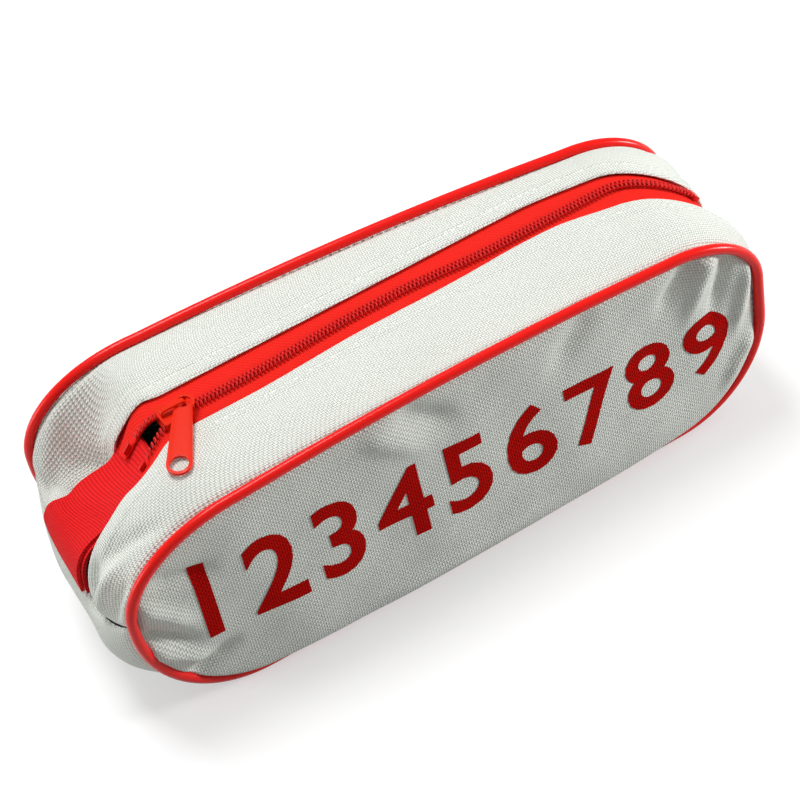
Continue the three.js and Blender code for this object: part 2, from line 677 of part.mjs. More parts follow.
// Strap: from the end seam up the strap end, sunk between the strips, until it lies under the tapes.
function strap() {
  const from = seamGap;
  const to = shareAtX(STRAP_TOP);
  const columns = Math.ceil(((to - from) * TOP_RUN) / CURVED_STEP);
  const under = TAPE_BOTTOM - 3 * CLEARANCE - STRAP_THICKNESS;
  return sheet(columns, ACROSS_DENT, (i, j, face) => {
    const share = from + i * (to - from);
    const x = topRails.crest.getPointAt(share).x;
    const out = THREE.MathUtils.lerp(under, STRAP_SEAM, ramp(x, STRAP_RISE_START, STRAP_RISE_END));
    const y = STRAP_OFFSET + (j - 0.5) * STRAP_WIDTH;
    return skin(topRails, share, y, out + (1 - face) * STRAP_THICKNESS);
  });
}
add("end_strap", strap(), webbing);

// A run of tiles stacked face to face, with a groove between each two where their edges are rounded.
function tileRun() {
  const loops = [];
  const length = TILES_IN_RUN * TILE.thick;
  for (let i = 0; i < TILES_IN_RUN; i++) {
    const start = i * TILE.thick - length / 2;
    const end = start + TILE.thick;
    const steps = [[start + TILE_BEVEL, 0], [end - TILE_BEVEL, 0], [end, TILE_GROOVE]];
    if (i === 0) steps.unshift([start, TILE_GROOVE]);
    for (const [x, inset] of steps) loops.push(tileSection(x, inset));
  }
  return loft(loops);
}

function tileSection(x, inset) {
  const y = TILE.tall / 2 - inset;
  const z = TILE.wide / 2 - inset;
  return [[-y, -z], [y, -z], [y, z], [-y, z]].map(([a, b]) => new THREE.Vector3(x, a, b));
}

function roundedRectangle(width, height, radius) {
  const x = width / 2;
  const y = height / 2;
  const shape = new THREE.Shape().moveTo(radius - x, -y).lineTo(x - radius, -y);
  shape.quadraticCurveTo(x, -y, x, radius - y).lineTo(x, y - radius);
  shape.quadraticCurveTo(x, y, x - radius, y).lineTo(radius - x, y);
  shape.quadraticCurveTo(-x, y, -x, y - radius).lineTo(-x, radius - y);
  return shape.quadraticCurveTo(-x, -y, radius - x, -y);
}

function looseTile() {
  const face = roundedRectangle(TILE.tall - 2 * TILE_BEVEL, TILE.wide - 2 * TILE_BEVEL, TILE_CORNER);
  const tile = extruded(face, TILE.thick - 2 * TILE_BEVEL, {
    bevelEnabled: true,
    bevelSize: TILE_BEVEL,
    bevelThickness: TILE_BEVEL,
    bevelSegments: 1,
    curveSegments: 3,
  });
  return tile.rotateZ(Math.PI / 2).rotateY(Math.PI / 2);
}

// Contents, from the bottom: two layers of tile runs, two nested pairs of racks, and the leaflet.
const floor = FABRIC + FLOOR_GAP;
const runLength = TILES_IN_RUN * TILE.thick;
let runNumber = 1;
for (const layer of [0, 1]) {
  for (const end of [-1, 1]) {
    for (const side of [-1, 1]) {
      const run = add(`tile_run_${runNumber++}`, tileRun(), tilePlastic);
      run.position.set(
        (end * (runLength + CLEARANCE)) / 2,
        (side * (TILE.tall + CLEARANCE)) / 2,
        floor + TILE.wide / 2 + layer * (TILE.wide + CLEARANCE),
      );
    }
  }
}
for (const place of [1, 2]) {
  const joker = add(`joker_tile_${place}`, looseTile(), tilePlastic);
  const x = -runLength - CLEARANCE - place * (TILE.thick + CLEARANCE);
  joker.position.set(x + TILE_BEVEL, 0, floor + TILE.wide / 2);
}

// Rack: two ledges, each with a lip in front and a sloping riser behind, and a sloping back leg. The
// places are shares of its width and height: over the top, and then back along the underside.
const RACK_SHARES = [
  [0, 0], [0, 0.07], [0.04, 0.25], [0.087, 0.25], [0.103, 0.17],
  [0.33, 0.17], [0.423, 0.62], [0.473, 0.62], [0.49, 0.54],
  [0.7, 0.54], [0.807, 1], [0.847, 1], [1, 0.07], [1, 0],
  [0.957, 0], [0.957, 0.057], [0.823, 0.864], [0.727, 0.45],
  [0.437, 0.45], [0.357, 0.079], [0.047, 0.079], [0.047, 0],
];
function rack() {
  const profile = RACK_SHARES.map(([y, z]) => new THREE.Vector2((y - 0.5) * RACK_WIDTH, z * RACK_HEIGHT));
  const flat = extruded(new THREE.Shape(profile), RACK_LENGTH).translate(0, 0, -RACK_LENGTH / 2);
  return flat.rotateX(Math.PI / 2).rotateZ(Math.PI / 2);
}

const rackFloor = floor + 2 * (TILE.wide + CLEARANCE);
let rackNumber = 1;
for (const side of [-1, 1]) {
  for (const level of [0, 1]) {
    const mesh = add(`rack_${rackNumber++}`, rack(), rackPlastic);
    mesh.position.set(RACK_SHIFT, (side * (RACK_WIDTH + CLEARANCE)) / 2, rackFloor + level * RACK_NEST);
  }
}

// Rules: one sheet folded in three.
function leaflet() {
  const { long, wide, sheet: paperSheet, gap } = LEAFLET;
  const layer = paperSheet + gap;
  const profile = new THREE.Shape().moveTo(0, 0).lineTo(wide, 0).lineTo(wide, layer + paperSheet);
  profile.lineTo(paperSheet, layer + paperSheet).lineTo(paperSheet, 2 * layer).lineTo(wide, 2 * layer);
  profile.lineTo(wide, 2 * layer + paperSheet).lineTo(0, 2 * layer + paperSheet).lineTo(0, layer);
  profile.lineTo(wide - paperSheet, layer).lineTo(wide - paperSheet, paperSheet).lineTo(0, paperSheet);
  const flat = extruded(profile, long).translate(-wide / 2, 0, -long / 2);
  return flat.rotateX(Math.PI / 2).rotateZ(Math.PI / 2);
}
const leafletMesh = add("rules_leaflet", leaflet(), paper);
leafletMesh.position.set(0, 0, rackFloor + RACK_NEST + RACK_HEIGHT + CLEARANCE);

// The origin is under the middle of everything, on the resting plane.
const whole = new THREE.Box3().setFromObject(pouch);
const middle = whole.getCenter(new THREE.Vector3());
pouch.position.set(-middle.x, -middle.y, -whole.min.z);
pouch.name = "rummy_tile_game";

export default pouch;
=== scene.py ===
"""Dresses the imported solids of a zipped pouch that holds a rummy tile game: woven cloth with sewn piping,
a coil zip, a webbing strap, and the tiles, racks and rules inside it.

The solids are in metres. The cloth is worked out in millimetres, along the same lines as the solids, and
MM turns it into metres. +X runs to the far end, -Y is the front and +Z is up.
"""

import bpy
import numpy as np
from mathutils import Matrix, Vector


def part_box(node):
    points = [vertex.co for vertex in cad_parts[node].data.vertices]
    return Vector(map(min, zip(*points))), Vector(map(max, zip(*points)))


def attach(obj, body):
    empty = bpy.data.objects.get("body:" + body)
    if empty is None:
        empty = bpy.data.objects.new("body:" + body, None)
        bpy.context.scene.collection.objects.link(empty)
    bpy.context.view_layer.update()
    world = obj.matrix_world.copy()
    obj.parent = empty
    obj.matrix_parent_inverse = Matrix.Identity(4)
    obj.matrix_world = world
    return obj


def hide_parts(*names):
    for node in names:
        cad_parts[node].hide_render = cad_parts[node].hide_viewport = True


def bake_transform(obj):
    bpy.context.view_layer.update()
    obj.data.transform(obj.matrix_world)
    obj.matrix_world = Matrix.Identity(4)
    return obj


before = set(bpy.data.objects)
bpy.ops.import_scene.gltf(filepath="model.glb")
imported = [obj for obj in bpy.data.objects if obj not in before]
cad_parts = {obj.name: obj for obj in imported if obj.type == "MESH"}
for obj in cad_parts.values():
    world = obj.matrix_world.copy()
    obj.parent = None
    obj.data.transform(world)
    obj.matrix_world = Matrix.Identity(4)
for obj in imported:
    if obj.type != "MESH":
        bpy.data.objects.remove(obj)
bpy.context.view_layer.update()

MM = 0.001
TINY = 1e-6
ORIGIN = np.array([1.737, 1.055, 0.041])  # from the middle of the pouch to the middle of the whole part
SIDES = (("front", -1), ("back", 1))

# The pouch, as in the solids. A corner is given as its reach along X and its drop.
LENGTH = 265.0
HEIGHT = 89.0
STRAP_END_DEPTH = 95.0
FAR_END_DEPTH = 70.0
TOP_ARCH = 3.3
TOP_STRAP_CORNER = (50.0, 35.5)
TOP_FAR_CORNER = (39.0, 29.5)
BOTTOM_STRAP_CORNER = (44.5, 49.5)
BOTTOM_FAR_CORNER = (40.0, 42.0)
PIPING_RADIUS = 2.1
CLOTH = 1.2
FRONT_SWELL = 8.5
FRONT_SAG = 0.6
BACK_SWELL = 5.0
BACK_SAG = 1.2
SWELL_ENDS = 3
PIPING_SEAM = 55.5
FLAT_SHARE = 0.5
ROUNDER = 0.4  # comes off the flat share at the back, beside the strap
ROUNDER_ALONG = (-108, -128)
DENT = 20.0
DENT_SEAM_SHARE = 0.05
DENT_ACROSS = (-26, 20)
STRAP_WIDTH = 36.0
STRAP_OFFSET = 2.0
TUCK = 1.3  # the cloth runs in under the piping as far as this from its centre

# The zip
ZIP_OFFSET = 4.5
ZIP_VEER = 12.0
VEER_PAST_FLAP = 12
FRONT_REVEAL = 8.5
FRONT_WIDENS = 2.5
BACK_REVEAL = 11.5
BACK_NARROWS = 5
REVEAL_CHANGES = (60, 112)
TAPE_WIDTH = 16.0
TAPE_TOP = -1.5
TAPE_THICKNESS = 0.8
FLAP_END = 82.0
PARTING_START = -85.0
PARTING_SLOPE = 0.38
SLOT_START = -86.0
SLOT_FULL = -113.0
SLOT_GAP = 0.3
SLOT_EASE = 3.0
SLOT_EASED = -125
ZIP_SLOPE = (STRAP_END_DEPTH - FAR_END_DEPTH) / 2 / LENGTH

# What the soft cloth does beyond the solids
ZIP_STRAY = 2.5  # the zip strays this far to the back at its middle
FRONT_GATHER = 3.8  # the front strip's edge comes this much closer to the zip
STRAP_LAP = 6.0  # the back strip's edge runs this far in under the strap
STRAP_TUCK = 6.8  # and this far down there
TUCK_EASE = 12
STRAP_SLING = 4.6  # the strap's rear edge stands this much higher
SLING_ACROSS = (-12, 16)

# Where along X each of these starts, has its full size, begins to fade, and ends
STRAY_ALONG = (-62, -8, 6, 48)
GATHER_ALONG = (8, 54, 68, 102)
LAP_ALONG = (-138.2, -130, -120, -110)
TUCK_ALONG = (-138.2, -131, -116, -106)
SLING_ALONG = (-138.2, -131, -126, -112)
DENT_ALONG = (-142, -125, -112, -92)

HALF_LENGTH = LENGTH / 2
TOP = PIPING_RADIUS + HEIGHT
CREST = TOP + PIPING_RADIUS


def ramp(x, start, end):
    """0 up to start, 1 from end on, and an easy rise between them."""
    share = np.clip((x - start) / (end - start), 0, 1)
    return share * share * (3 - 2 * share)


def between(x, start, full, fading, end):
    """0 outside start and end, 1 from full to fading."""
    return ramp(x, start, full) * ramp(x, end, fading)


def half_depth(x):
    return STRAP_END_DEPTH / 2 - ZIP_SLOPE * (x + HALF_LENGTH)


def wander(x):
    """The zip of a soft pouch doesn't lie quite straight: how far it strays to the back."""
    return ZIP_STRAY * between(x, *STRAY_ALONG)


def zip_y(x):
    veer = ZIP_VEER * ramp(x, FLAP_END + VEER_PAST_FLAP, HALF_LENGTH)
    return ZIP_OFFSET + ZIP_SLOPE * x + wander(x) - veer


def parting(x):
    """How far the two sides of the zip have come apart, each from the middle, near the strap."""
    return PARTING_SLOPE * np.maximum(0, PARTING_START - x)


def lap_under(x):
    """How far the back strip's edge runs in under the strap."""
    return STRAP_LAP * between(x, *LAP_ALONG)


def fold_y(x, side):
    """The folded edge of a top strip, which runs beside the zip and then beside the strap."""
    round_end = ramp(x, *REVEAL_CHANGES)
    if side < 0:
        reveal = FRONT_REVEAL + FRONT_WIDENS * round_end - FRONT_GATHER * between(x, *GATHER_ALONG)
    else:
        reveal = BACK_REVEAL - BACK_NARROWS * round_end - wander(x)
    beside = zip_y(x) + side * reveal
    ease = SLOT_EASE * ramp(x, SLOT_FULL, SLOT_EASED) * (side < 0)
    slot = STRAP_OFFSET + side * (STRAP_WIDTH / 2 + SLOT_GAP + ease - (side > 0) * lap_under(x))
    return beside + (slot - beside) * ramp(x, SLOT_START, SLOT_FULL)


def dent(x, y):
    """How far the cloth dips behind the strap."""
    edge = half_depth(x)
    across = ramp(y, *DENT_ACROSS) * ramp(y, edge, edge - STRAP_WIDTH / 2)
    return DENT * between(x, *DENT_ALONG) * across


def corner_drop(past, corner, inset):
    share = np.minimum(1, past / (corner[0] - inset))
    return (corner[1] - inset) * (1 - np.sqrt(1 - share * share))


def outline_top(x, inset):
    left = TOP_STRAP_CORNER[0] - HALF_LENGTH
    right = HALF_LENGTH - TOP_FAR_CORNER[0]
    share = np.clip((x - left) / (right - left), 0, 1)
    over = 4 * TOP_ARCH * share * (1 - share)
    drop = corner_drop(np.maximum(0, left - x), TOP_STRAP_CORNER, inset)
    return TOP - inset + over - drop - corner_drop(np.maximum(0, x - right), TOP_FAR_CORNER, inset)


def outline_bottom(x, inset):
    left = BOTTOM_STRAP_CORNER[0] - HALF_LENGTH
    right = HALF_LENGTH - BOTTOM_FAR_CORNER[0]
    drop = corner_drop(np.maximum(0, left - x), BOTTOM_STRAP_CORNER, inset)
    return PIPING_RADIUS + inset + drop + corner_drop(np.maximum(0, x - right), BOTTOM_FAR_CORNER, inset)


# ---- Lines that the cloth follows: the piping at either side, and the crest midway between ----

BEND_POINTS = 200


def arc(centre, radii, start, end):
    turn = np.radians(np.linspace(start, end, BEND_POINTS))
    return np.stack([centre[0] + radii[0] * np.cos(turn), centre[1] + radii[1] * np.sin(turn)], 1)


def hump(start, control, end):
    t = np.linspace(0, 1, BEND_POINTS)[:, None]
    return (1 - t) ** 2 * np.array(start) + 2 * t * (1 - t) * np.array(control) + t * t * np.array(end)


class Rail:
    """A line in X and Z that is read by its share of the whole length."""

    def __init__(self, *parts):
        points = np.concatenate(parts)
        steps = np.linalg.norm(np.diff(points, axis=0), axis=1)
        kept = np.concatenate([[True], steps > TINY])
        self.points = points[kept]
        steps = np.linalg.norm(np.diff(self.points, axis=0), axis=1)
        self.along = np.concatenate([[0], np.cumsum(steps)])
        self.length = self.along[-1]

    def at(self, share):
        place = np.clip(share, 0, 1) * self.length
        return np.stack([np.interp(place, self.along, self.points[:, i]) for i in (0, 1)], -1)

    def heading(self, share):
        step = 0.5 / self.length  # half a millimetre either way
        way = self.at(np.clip(share + step, 0, 1)) - self.at(np.clip(share - step, 0, 1))
        return way / np.linalg.norm(way, axis=-1, keepdims=True)

    def share_at(self, x):
        """Share at which the line reaches x, on a line that runs towards the far end."""
        rising = np.maximum.accumulate(self.points[:, 0])
        return np.interp(x, rising, self.along / self.length)


def top_rail(strap, far, top, arch):
    (strap_x, strap_seam), strap_corner = strap
    (far_x, far_seam), far_corner = far
    left = strap_x + strap_corner[0]
    right = far_x - far_corner[0]
    return Rail(
        [(strap_x, strap_seam)],
        arc((left, top - strap_corner[1]), strap_corner, 180, 90),
        hump((left, top), ((left + right) / 2, top + 2 * arch), (right, top)),
        arc((right, top - far_corner[1]), far_corner, 90, 0),
        [(far_x, far_seam)],
    )


def bottom_rail(strap, far, bottom):
    (strap_x, strap_seam), strap_belly, strap_corner = strap
    (far_x, far_seam), far_belly, far_corner = far
    left = strap_belly + strap_corner[0]
    right = far_belly - far_corner[0]
    strap_top = bottom + strap_corner[1]
    far_top = bottom + far_corner[1]
    return Rail(
        hump((strap_x, strap_seam), (strap_belly, strap_seam), (strap_belly, strap_top)),
        arc((left, strap_top), strap_corner, 180, 270),
        arc((right, far_top), far_corner, 270, 360),
        hump((far_belly, far_top), (far_belly, far_seam), (far_x, far_seam)),
    )


# X and height of the end seams, at the piping and at the crest
EDGE_STRAP_SEAM = (-HALF_LENGTH, PIPING_SEAM)
EDGE_FAR_SEAM = (HALF_LENGTH, PIPING_SEAM)
CREST_STRAP_SEAM = (-138, 46)
CREST_FAR_SEAM = (135, 50)

TOP_EDGE = top_rail((EDGE_STRAP_SEAM, TOP_STRAP_CORNER), (EDGE_FAR_SEAM, TOP_FAR_CORNER), TOP, TOP_ARCH)
TOP_CREST = top_rail((CREST_STRAP_SEAM, (49, 43)), (CREST_FAR_SEAM, (37, 35)), CREST, 0)
BOTTOM_EDGE = bottom_rail(
    (EDGE_STRAP_SEAM, -HALF_LENGTH, BOTTOM_STRAP_CORNER),
    (EDGE_FAR_SEAM, HALF_LENGTH, BOTTOM_FAR_CORNER),
    PIPING_RADIUS,
)
BOTTOM_CREST = bottom_rail((CREST_STRAP_SEAM, -141.5, (48, 34)), (CREST_FAR_SEAM, 138, (42, 40)), 0)


def skin(rails, share, y, out):
    """Points of the gusset: share runs along the rails, y across, and out is measured outwards."""
    edge_rail, crest_rail, outward = rails
    edge = edge_rail.at(share)
    across = np.abs(y) / half_depth(edge[..., 0])
    flat = FLAT_SHARE - ROUNDER * ramp(edge[..., 0], *ROUNDER_ALONG) * (y > 0)
    turned = np.clip((across - flat) / (1 - flat), 0, None)[..., None]
    place = edge + (crest_rail.at(share) - edge) * (1 - turned * turned)
    way = crest_rail.heading(share) * outward
    x = place[..., 0] - way[..., 1] * out
    z = place[..., 1] + way[..., 0] * out
    if outward > 0:
        z = z - dent(place[..., 0], y) * ramp(share, 0, DENT_SEAM_SHARE)
    return np.stack([x, y + 0 * x, z], -1)


TOP_RAILS = (TOP_EDGE, TOP_CREST, 1)
BOTTOM_RAILS = (BOTTOM_EDGE, BOTTOM_CREST, -1)
TOP_RUN = TOP_CREST.length
BOTTOM_RUN = BOTTOM_CREST.length


def crest_share(x):
    """Share of the way along the top's crest at which it reaches x."""
    return float(TOP_CREST.share_at(x))


# ---- Folds and creases, as soft ridges that are added to the cloth ----

SLACK_SIZES = (61, 43, 29, 21, 14)


def crease(x, z, start, end, width, depth):
    """A ridge along the line from start to end that dies away at both its ends and to its sides."""
    start, end = np.array(start, float), np.array(end, float)
    way = end - start
    length = np.linalg.norm(way)
    way = way / length
    along = ((x - start[0]) * way[0] + (z - start[1]) * way[1]) / length
    off = (x - start[0]) * -way[1] + (z - start[1]) * way[0]
    return depth * between(along, -0.15, 0.25, 0.6, 1.15) * np.exp(-((off / width) ** 2))


def slack(x, z, seed):
    """Gentle unevenness of cloth that nothing pulls flat."""
    rng = np.random.default_rng(seed)
    total = np.zeros(np.broadcast(x, z).shape)
    for size in SLACK_SIZES:
        turn = rng.uniform(0, np.pi)
        phase = rng.uniform(0, 2 * np.pi)
        total += size * np.sin((x * np.cos(turn) + z * np.sin(turn)) * 2 * np.pi / size + phase)
    return total / sum(SLACK_SIZES)


# ---- Finishes ----

BAND_SCALE = 0.314159  # a wave texture of this scale has its bands 1 apart
EULER = 2.718


def shader_of(material):
    return material.node_tree.nodes["Principled BSDF"]


def finish(name, colour, roughness, specular=0.5):
    material = bpy.data.materials.new(name)
    material.use_nodes = True
    shader = shader_of(material)
    shader.inputs["Base Color"].default_value = (*colour, 1)
    shader.inputs["Roughness"].default_value = roughness
    shader.inputs["Specular IOR Level"].default_value = specular
    return material


def node(material, kind, **settings):
    made = material.node_tree.nodes.new(kind)
    for key, value in settings.items():
        if key in made.inputs:
            made.inputs[key].default_value = value
        else:
            setattr(made, key, value)
    return made


def link(material, source, target):
    material.node_tree.links.new(source, target)


def maths(material, operation, *values):
    made = node(material, "ShaderNodeMath", operation=operation)
    for socket, value in zip(made.inputs, values):
        if isinstance(value, (int, float)):
            socket.default_value = value
        else:
            link(material, value, socket)
    return made.outputs[0]


def sum_of(material, first, first_share, second, second_share):
    """The first times its share, plus the second times its share."""
    return maths(
        material,
        "ADD",
        maths(material, "MULTIPLY", first, first_share),
        maths(material, "MULTIPLY", second, second_share),
    )


def piece_map(material, name):
    return node(material, "ShaderNodeUVMap", uv_map=name).outputs[0]


def threads(material, where, direction, pitch):
    """Round ridges, a pitch apart."""
    wave = node(
        material, "ShaderNodeTexWave", Scale=BAND_SCALE / pitch, wave_type="BANDS", bands_direction=direction
    )
    link(material, where, wave.inputs["Vector"])
    return wave.outputs["Fac"]


def tint(material, amount, dark, light):
    """Base colour that runs from dark to light with amount."""
    mix = node(material, "ShaderNodeMix", data_type="RGBA")
    link(material, amount, mix.inputs[0])
    mix.inputs[6].default_value = (*dark, 1)
    mix.inputs[7].default_value = (*light, 1)
    link(material, mix.outputs[2], shader_of(material).inputs["Base Color"])


def relief(material, height, distance):
    bump = node(material, "ShaderNodeBump", Strength=1.0, Distance=distance)
    link(material, height, bump.inputs["Height"])
    link(material, bump.outputs["Normal"], shader_of(material).inputs["Normal"])


def weave(material, uv, pitch):
    """Plain weave: 1 along the top of each thread, down to 0 where it passes under the next. woven_cloth uses
    it as the bump's height and to paint shade into the hollows.
    """
    warp = threads(material, uv, "X", pitch)
    weft = threads(material, uv, "Y", pitch)
    checks = node(material, "ShaderNodeTexChecker", Scale=1 / pitch)
    link(material, uv, checks.inputs["Vector"])
    over = checks.outputs["Fac"]
    return sum_of(material, warp, over, weft, maths(material, "SUBTRACT", 1.0, over))


def woven_cloth(name, dark, light, specular=0.2):
    """Heavy plain weave, with puckers where the map says that a seam is near. Its colour is painted darker in
    the hollows where a thread passes under the next, as painted shade, and a noise adds uneven tone.
    """
    material = finish(name, light, 0.9, specular)
    uv = piece_map(material, "cloth")
    weave_height_and_shade = weave(material, uv, 0.95)
    uneven = node(material, "ShaderNodeTexNoise", Scale=0.9, Detail=4.0)
    link(material, uv, uneven.inputs["Vector"])
    # Painted shade: darker colour in the weave's hollows; the noise gives real uneven tone.
    tint(material, sum_of(material, weave_height_and_shade, 0.75, uneven.outputs["Fac"], 0.32), dark, light)
    seam = node(material, "ShaderNodeSeparateXYZ")
    link(material, piece_map(material, "seam"), seam.inputs[0])
    near = maths(material, "POWER", EULER, maths(material, "MULTIPLY", seam.outputs["Y"], -0.6))
    wave = maths(material, "SINE", maths(material, "MULTIPLY", seam.outputs["X"], 1.9))
    pucker = maths(material, "MULTIPLY", near, wave)
    relief(material, sum_of(material, weave_height_and_shade, 0.22, pucker, 0.3), 1 * MM)
    return material


def ribbed(name, dark, light, pitch, cross_pitch, depth):
    """Narrow woven goods: ribs across the length, with a finer slanting thread over them. The grooves between
    the threads are painted darker, as painted shade.
    """
    material = finish(name, light, 0.75, 0.12)
    uv = piece_map(material, "cloth")
    ribs = threads(material, uv, "X", pitch)
    fine = threads(material, uv, "DIAGONAL", cross_pitch)
    rib_height_and_shade = sum_of(material, ribs, 0.65, fine, 0.35)
    # Painted shade: the colour is darker in the grooves between the ribs and threads.
    tint(material, rib_height_and_shade, dark, light)
    relief(material, rib_height_and_shade, depth * MM)
    return material


def printed_paper(name, paper, ink):
    """Paper with columns of short lines, like small print seen from a distance."""
    material = finish(name, paper, 0.9)
    where = node(material, "ShaderNodeTexCoord").outputs["Object"]
    lines = threads(material, where, "Y", 3.2 * MM)
    columns = threads(material, where, "X", 46 * MM)
    breaks = node(material, "ShaderNodeTexNoise", Scale=420.0, Detail=1.0)
    link(material, where, breaks.inputs["Vector"])
    inked = maths(material, "GREATER_THAN", lines, 0.62)
    inside = maths(material, "GREATER_THAN", columns, 0.12)
    words = maths(material, "GREATER_THAN", breaks.outputs["Fac"], 0.44)
    dark = maths(material, "MULTIPLY", maths(material, "MULTIPLY", inked, inside), words)
    tint(material, dark, paper, ink)
    return material


# grey_cloth here and red_print below: the first colour is painted shade for the weave's hollows, mixed with
# darker random tone; the second is the colour on top of the threads.
CLOTH_GREY = woven_cloth("grey_cloth", (0.42, 0.445, 0.41), (0.93, 0.955, 0.885))
VINYL = finish("red_vinyl", (0.78, 0.010, 0.007), 0.24, 0.2)
# Tape and webbing: the first colour is painted shade for the grooves between the ribs, the second the colour
# on top of the ribs.
TAPE = ribbed("red_zip_tape", (0.62, 0.008, 0.005), (0.92, 0.022, 0.012), 0.7, 0.9, 0.12)
WEBBING = ribbed("red_webbing", (0.52, 0.004, 0.006), (0.90, 0.016, 0.018), 1.3, 0.55, 0.35)
NYLON = finish("red_nylon", (0.62, 0.010, 0.008), 0.42, 0.2)
LACQUER = finish("red_lacquer", (0.72, 0.018, 0.002), 0.24, 0.2)
PRINT = woven_cloth("red_print", (0.25, 0.002, 0.001), (0.60, 0.004, 0.002), 0.05)
THREAD = finish("grey_thread", (0.80, 0.82, 0.77), 0.8)
IVORY = finish("ivory_plastic", (0.80, 0.74, 0.58), 0.32)
GREEN = finish("green_plastic", (0.03, 0.22, 0.09), 0.35)
PAPER = printed_paper("printed_paper", (0.82, 0.81, 0.77), (0.30, 0.30, 0.31))


# ---- Making pieces ----

FINE = 1.0
SHEET_ANGLE = 60
SEAM_FAR_AWAY = 9


def count(length, step):
    return max(4, int(length / step * FINE))


def alone(obj):
    bpy.ops.object.select_all(action="DESELECT")
    obj.select_set(True)
    bpy.context.view_layer.objects.active = obj


def apply(obj, kind, **settings):
    alone(obj)
    modifier = obj.modifiers.new(kind.lower(), kind)
    for key, value in settings.items():
        setattr(modifier, key, value)
    bpy.ops.object.modifier_apply(modifier=modifier.name)


def repeat(obj, many, pitch):
    """Turns a piece into a row of many along X, a pitch apart."""
    apply(
        obj,
        "ARRAY",
        count=many,
        use_relative_offset=False,
        use_constant_offset=True,
        constant_offset_displace=(pitch, 0, 0),
    )


def freeze(obj):
    """Puts the piece's place, turn and size into its mesh."""
    alone(obj)
    bpy.ops.object.transform_apply(location=True, rotation=True, scale=True)


def open_mesh(obj, action="SELECT"):
    """Starts to edit the piece's mesh, with all of it selected, or none."""
    alone(obj)
    bpy.ops.object.mode_set(mode="EDIT")
    bpy.ops.mesh.select_all(action=action)


def close_mesh():
    bpy.ops.object.mode_set(mode="OBJECT")


def paint(obj, material):
    obj.data.materials.clear()
    obj.data.materials.append(material)


def settle(obj, name, material):
    """Gives a finished piece its name and material, and puts its place into its mesh."""
    freeze(obj)
    obj.name = name
    obj.data.name = name
    paint(obj, material)
    return obj


def smooth(obj, angle=None):
    alone(obj)
    if angle is None:
        bpy.ops.object.shade_smooth()
    else:
        bpy.ops.object.shade_smooth_by_angle(angle=np.radians(angle))


def points_of(obj):
    flat = np.empty(len(obj.data.vertices) * 3)
    obj.data.vertices.foreach_get("co", flat)
    return flat.reshape(-1, 3)


def put_points(obj, points):
    obj.data.vertices.foreach_set("co", points.astype(np.float32).ravel())
    obj.data.update()


def place_points(obj, millimetres):
    """Points measured from the middle of the pouch."""
    put_points(obj, (millimetres + ORIGIN) * MM)


def set_map(obj, name, values):
    """A map in millimetres, given for each point."""
    layer = obj.data.uv_layers.get(name) or obj.data.uv_layers.new(name=name)
    loops = np.empty(len(obj.data.loops), int)
    obj.data.loops.foreach_get("vertex_index", loops)
    layer.data.foreach_set("uv", values[loops].astype(np.float32).ravel())


def no_seam(s):
    """Seam map of a piece without puckers."""
    return np.stack([s, SEAM_FAR_AWAY + 0 * s], 1)


def face(obj, outward):
    """Turns an open sheet over when most of it faces away from outward."""
    faces = len(obj.data.polygons)
    normals, areas = np.empty(faces * 3), np.empty(faces)
    obj.data.polygons.foreach_get("normal", normals)
    obj.data.polygons.foreach_get("area", areas)
    if (normals.reshape(-1, 3) * areas[:, None]).sum(0) @ np.array(outward) < 0:
        open_mesh(obj)
        bpy.ops.mesh.flip_normals()
        close_mesh()


def cloth(name, columns, rows, place, outward, material=CLOTH_GREY, thickness=CLOTH):
    """A flat grid that is shaped by place(i, j), which gives points, map and distance to a seam."""
    bpy.ops.mesh.primitive_grid_add(x_subdivisions=columns, y_subdivisions=rows, size=1)
    obj = bpy.context.object
    flat = points_of(obj)
    points, cloth_map, seam_map = place(flat[:, 0] + 0.5, flat[:, 1] + 0.5)
    place_points(obj, points)
    while obj.data.uv_layers:
        obj.data.uv_layers.remove(obj.data.uv_layers[0])
    set_map(obj, "cloth", cloth_map)
    set_map(obj, "seam", seam_map)
    face(obj, outward)
    apply(obj, "SOLIDIFY", thickness=thickness * MM, offset=-1)
    smooth(obj, SHEET_ANGLE)
    return settle(obj, name, material)


# ---- Side panels ----

FRONT_STEP, BACK_STEP = 1.4, 1.8
PANEL_SLACK = 0.9
SEAM_DIP = 1.7
SEAM_DIP_REACH = 3.6
FRONT_CREASES = (
    ((-130, 64), (-111, 44), 3.6, 3.2),
    ((-132, 50), (-112, 34), 3.2, -3.8),
    ((-130, 39), (-108, 24), 3.2, 2.6),
    ((-120, 18), (-98, 27), 3.4, -2.8),
    ((-122, 70), (-98, 64), 3.6, -2.4),
    ((115, 89), (98, 60), 3.6, 3.2),
    ((122, 83), (109, 54), 3.4, -3.2),
    ((129, 72), (119, 40), 3.4, 3.0),
    ((106, 89), (88, 70), 3.8, -3.0),
    ((60, 90), (42, 72), 5.0, -2.0),
    ((-20, 89), (2, 72), 4.6, -3.0),
    ((-34, 86), (-12, 68), 4.0, 2.2),
    ((128, 36), (112, 18), 3.4, 3.0),
    ((-40, 10), (30, 13), 4.0, 1.6),
)


def panel_points(swell, sag, i, j):
    reach = HALF_LENGTH - TUCK
    x = -reach * np.cos(np.pi * i)
    low = outline_bottom(x, TUCK)
    z = low + j * j * (outline_top(x, TUCK) - low)
    bulge = swell * (1 - np.abs(x / reach) ** SWELL_ENDS) * np.sin(np.pi * j**sag)
    return x, z, bulge


def seam_dip(away):
    """How far the cloth dives in beside the piping, where the two layers are sewn together."""
    return SEAM_DIP * ramp(away, TUCK + SEAM_DIP_REACH, TUCK)


def near_seam(x, z):
    """Distance in from the panel's outline, roughly."""
    up = np.minimum(outline_top(x, 0) - z, z - outline_bottom(x, 0))
    return np.minimum(up, HALF_LENGTH - np.abs(x))


def creases(x, z, lines):
    return sum(crease(x, z, *line) for line in lines)


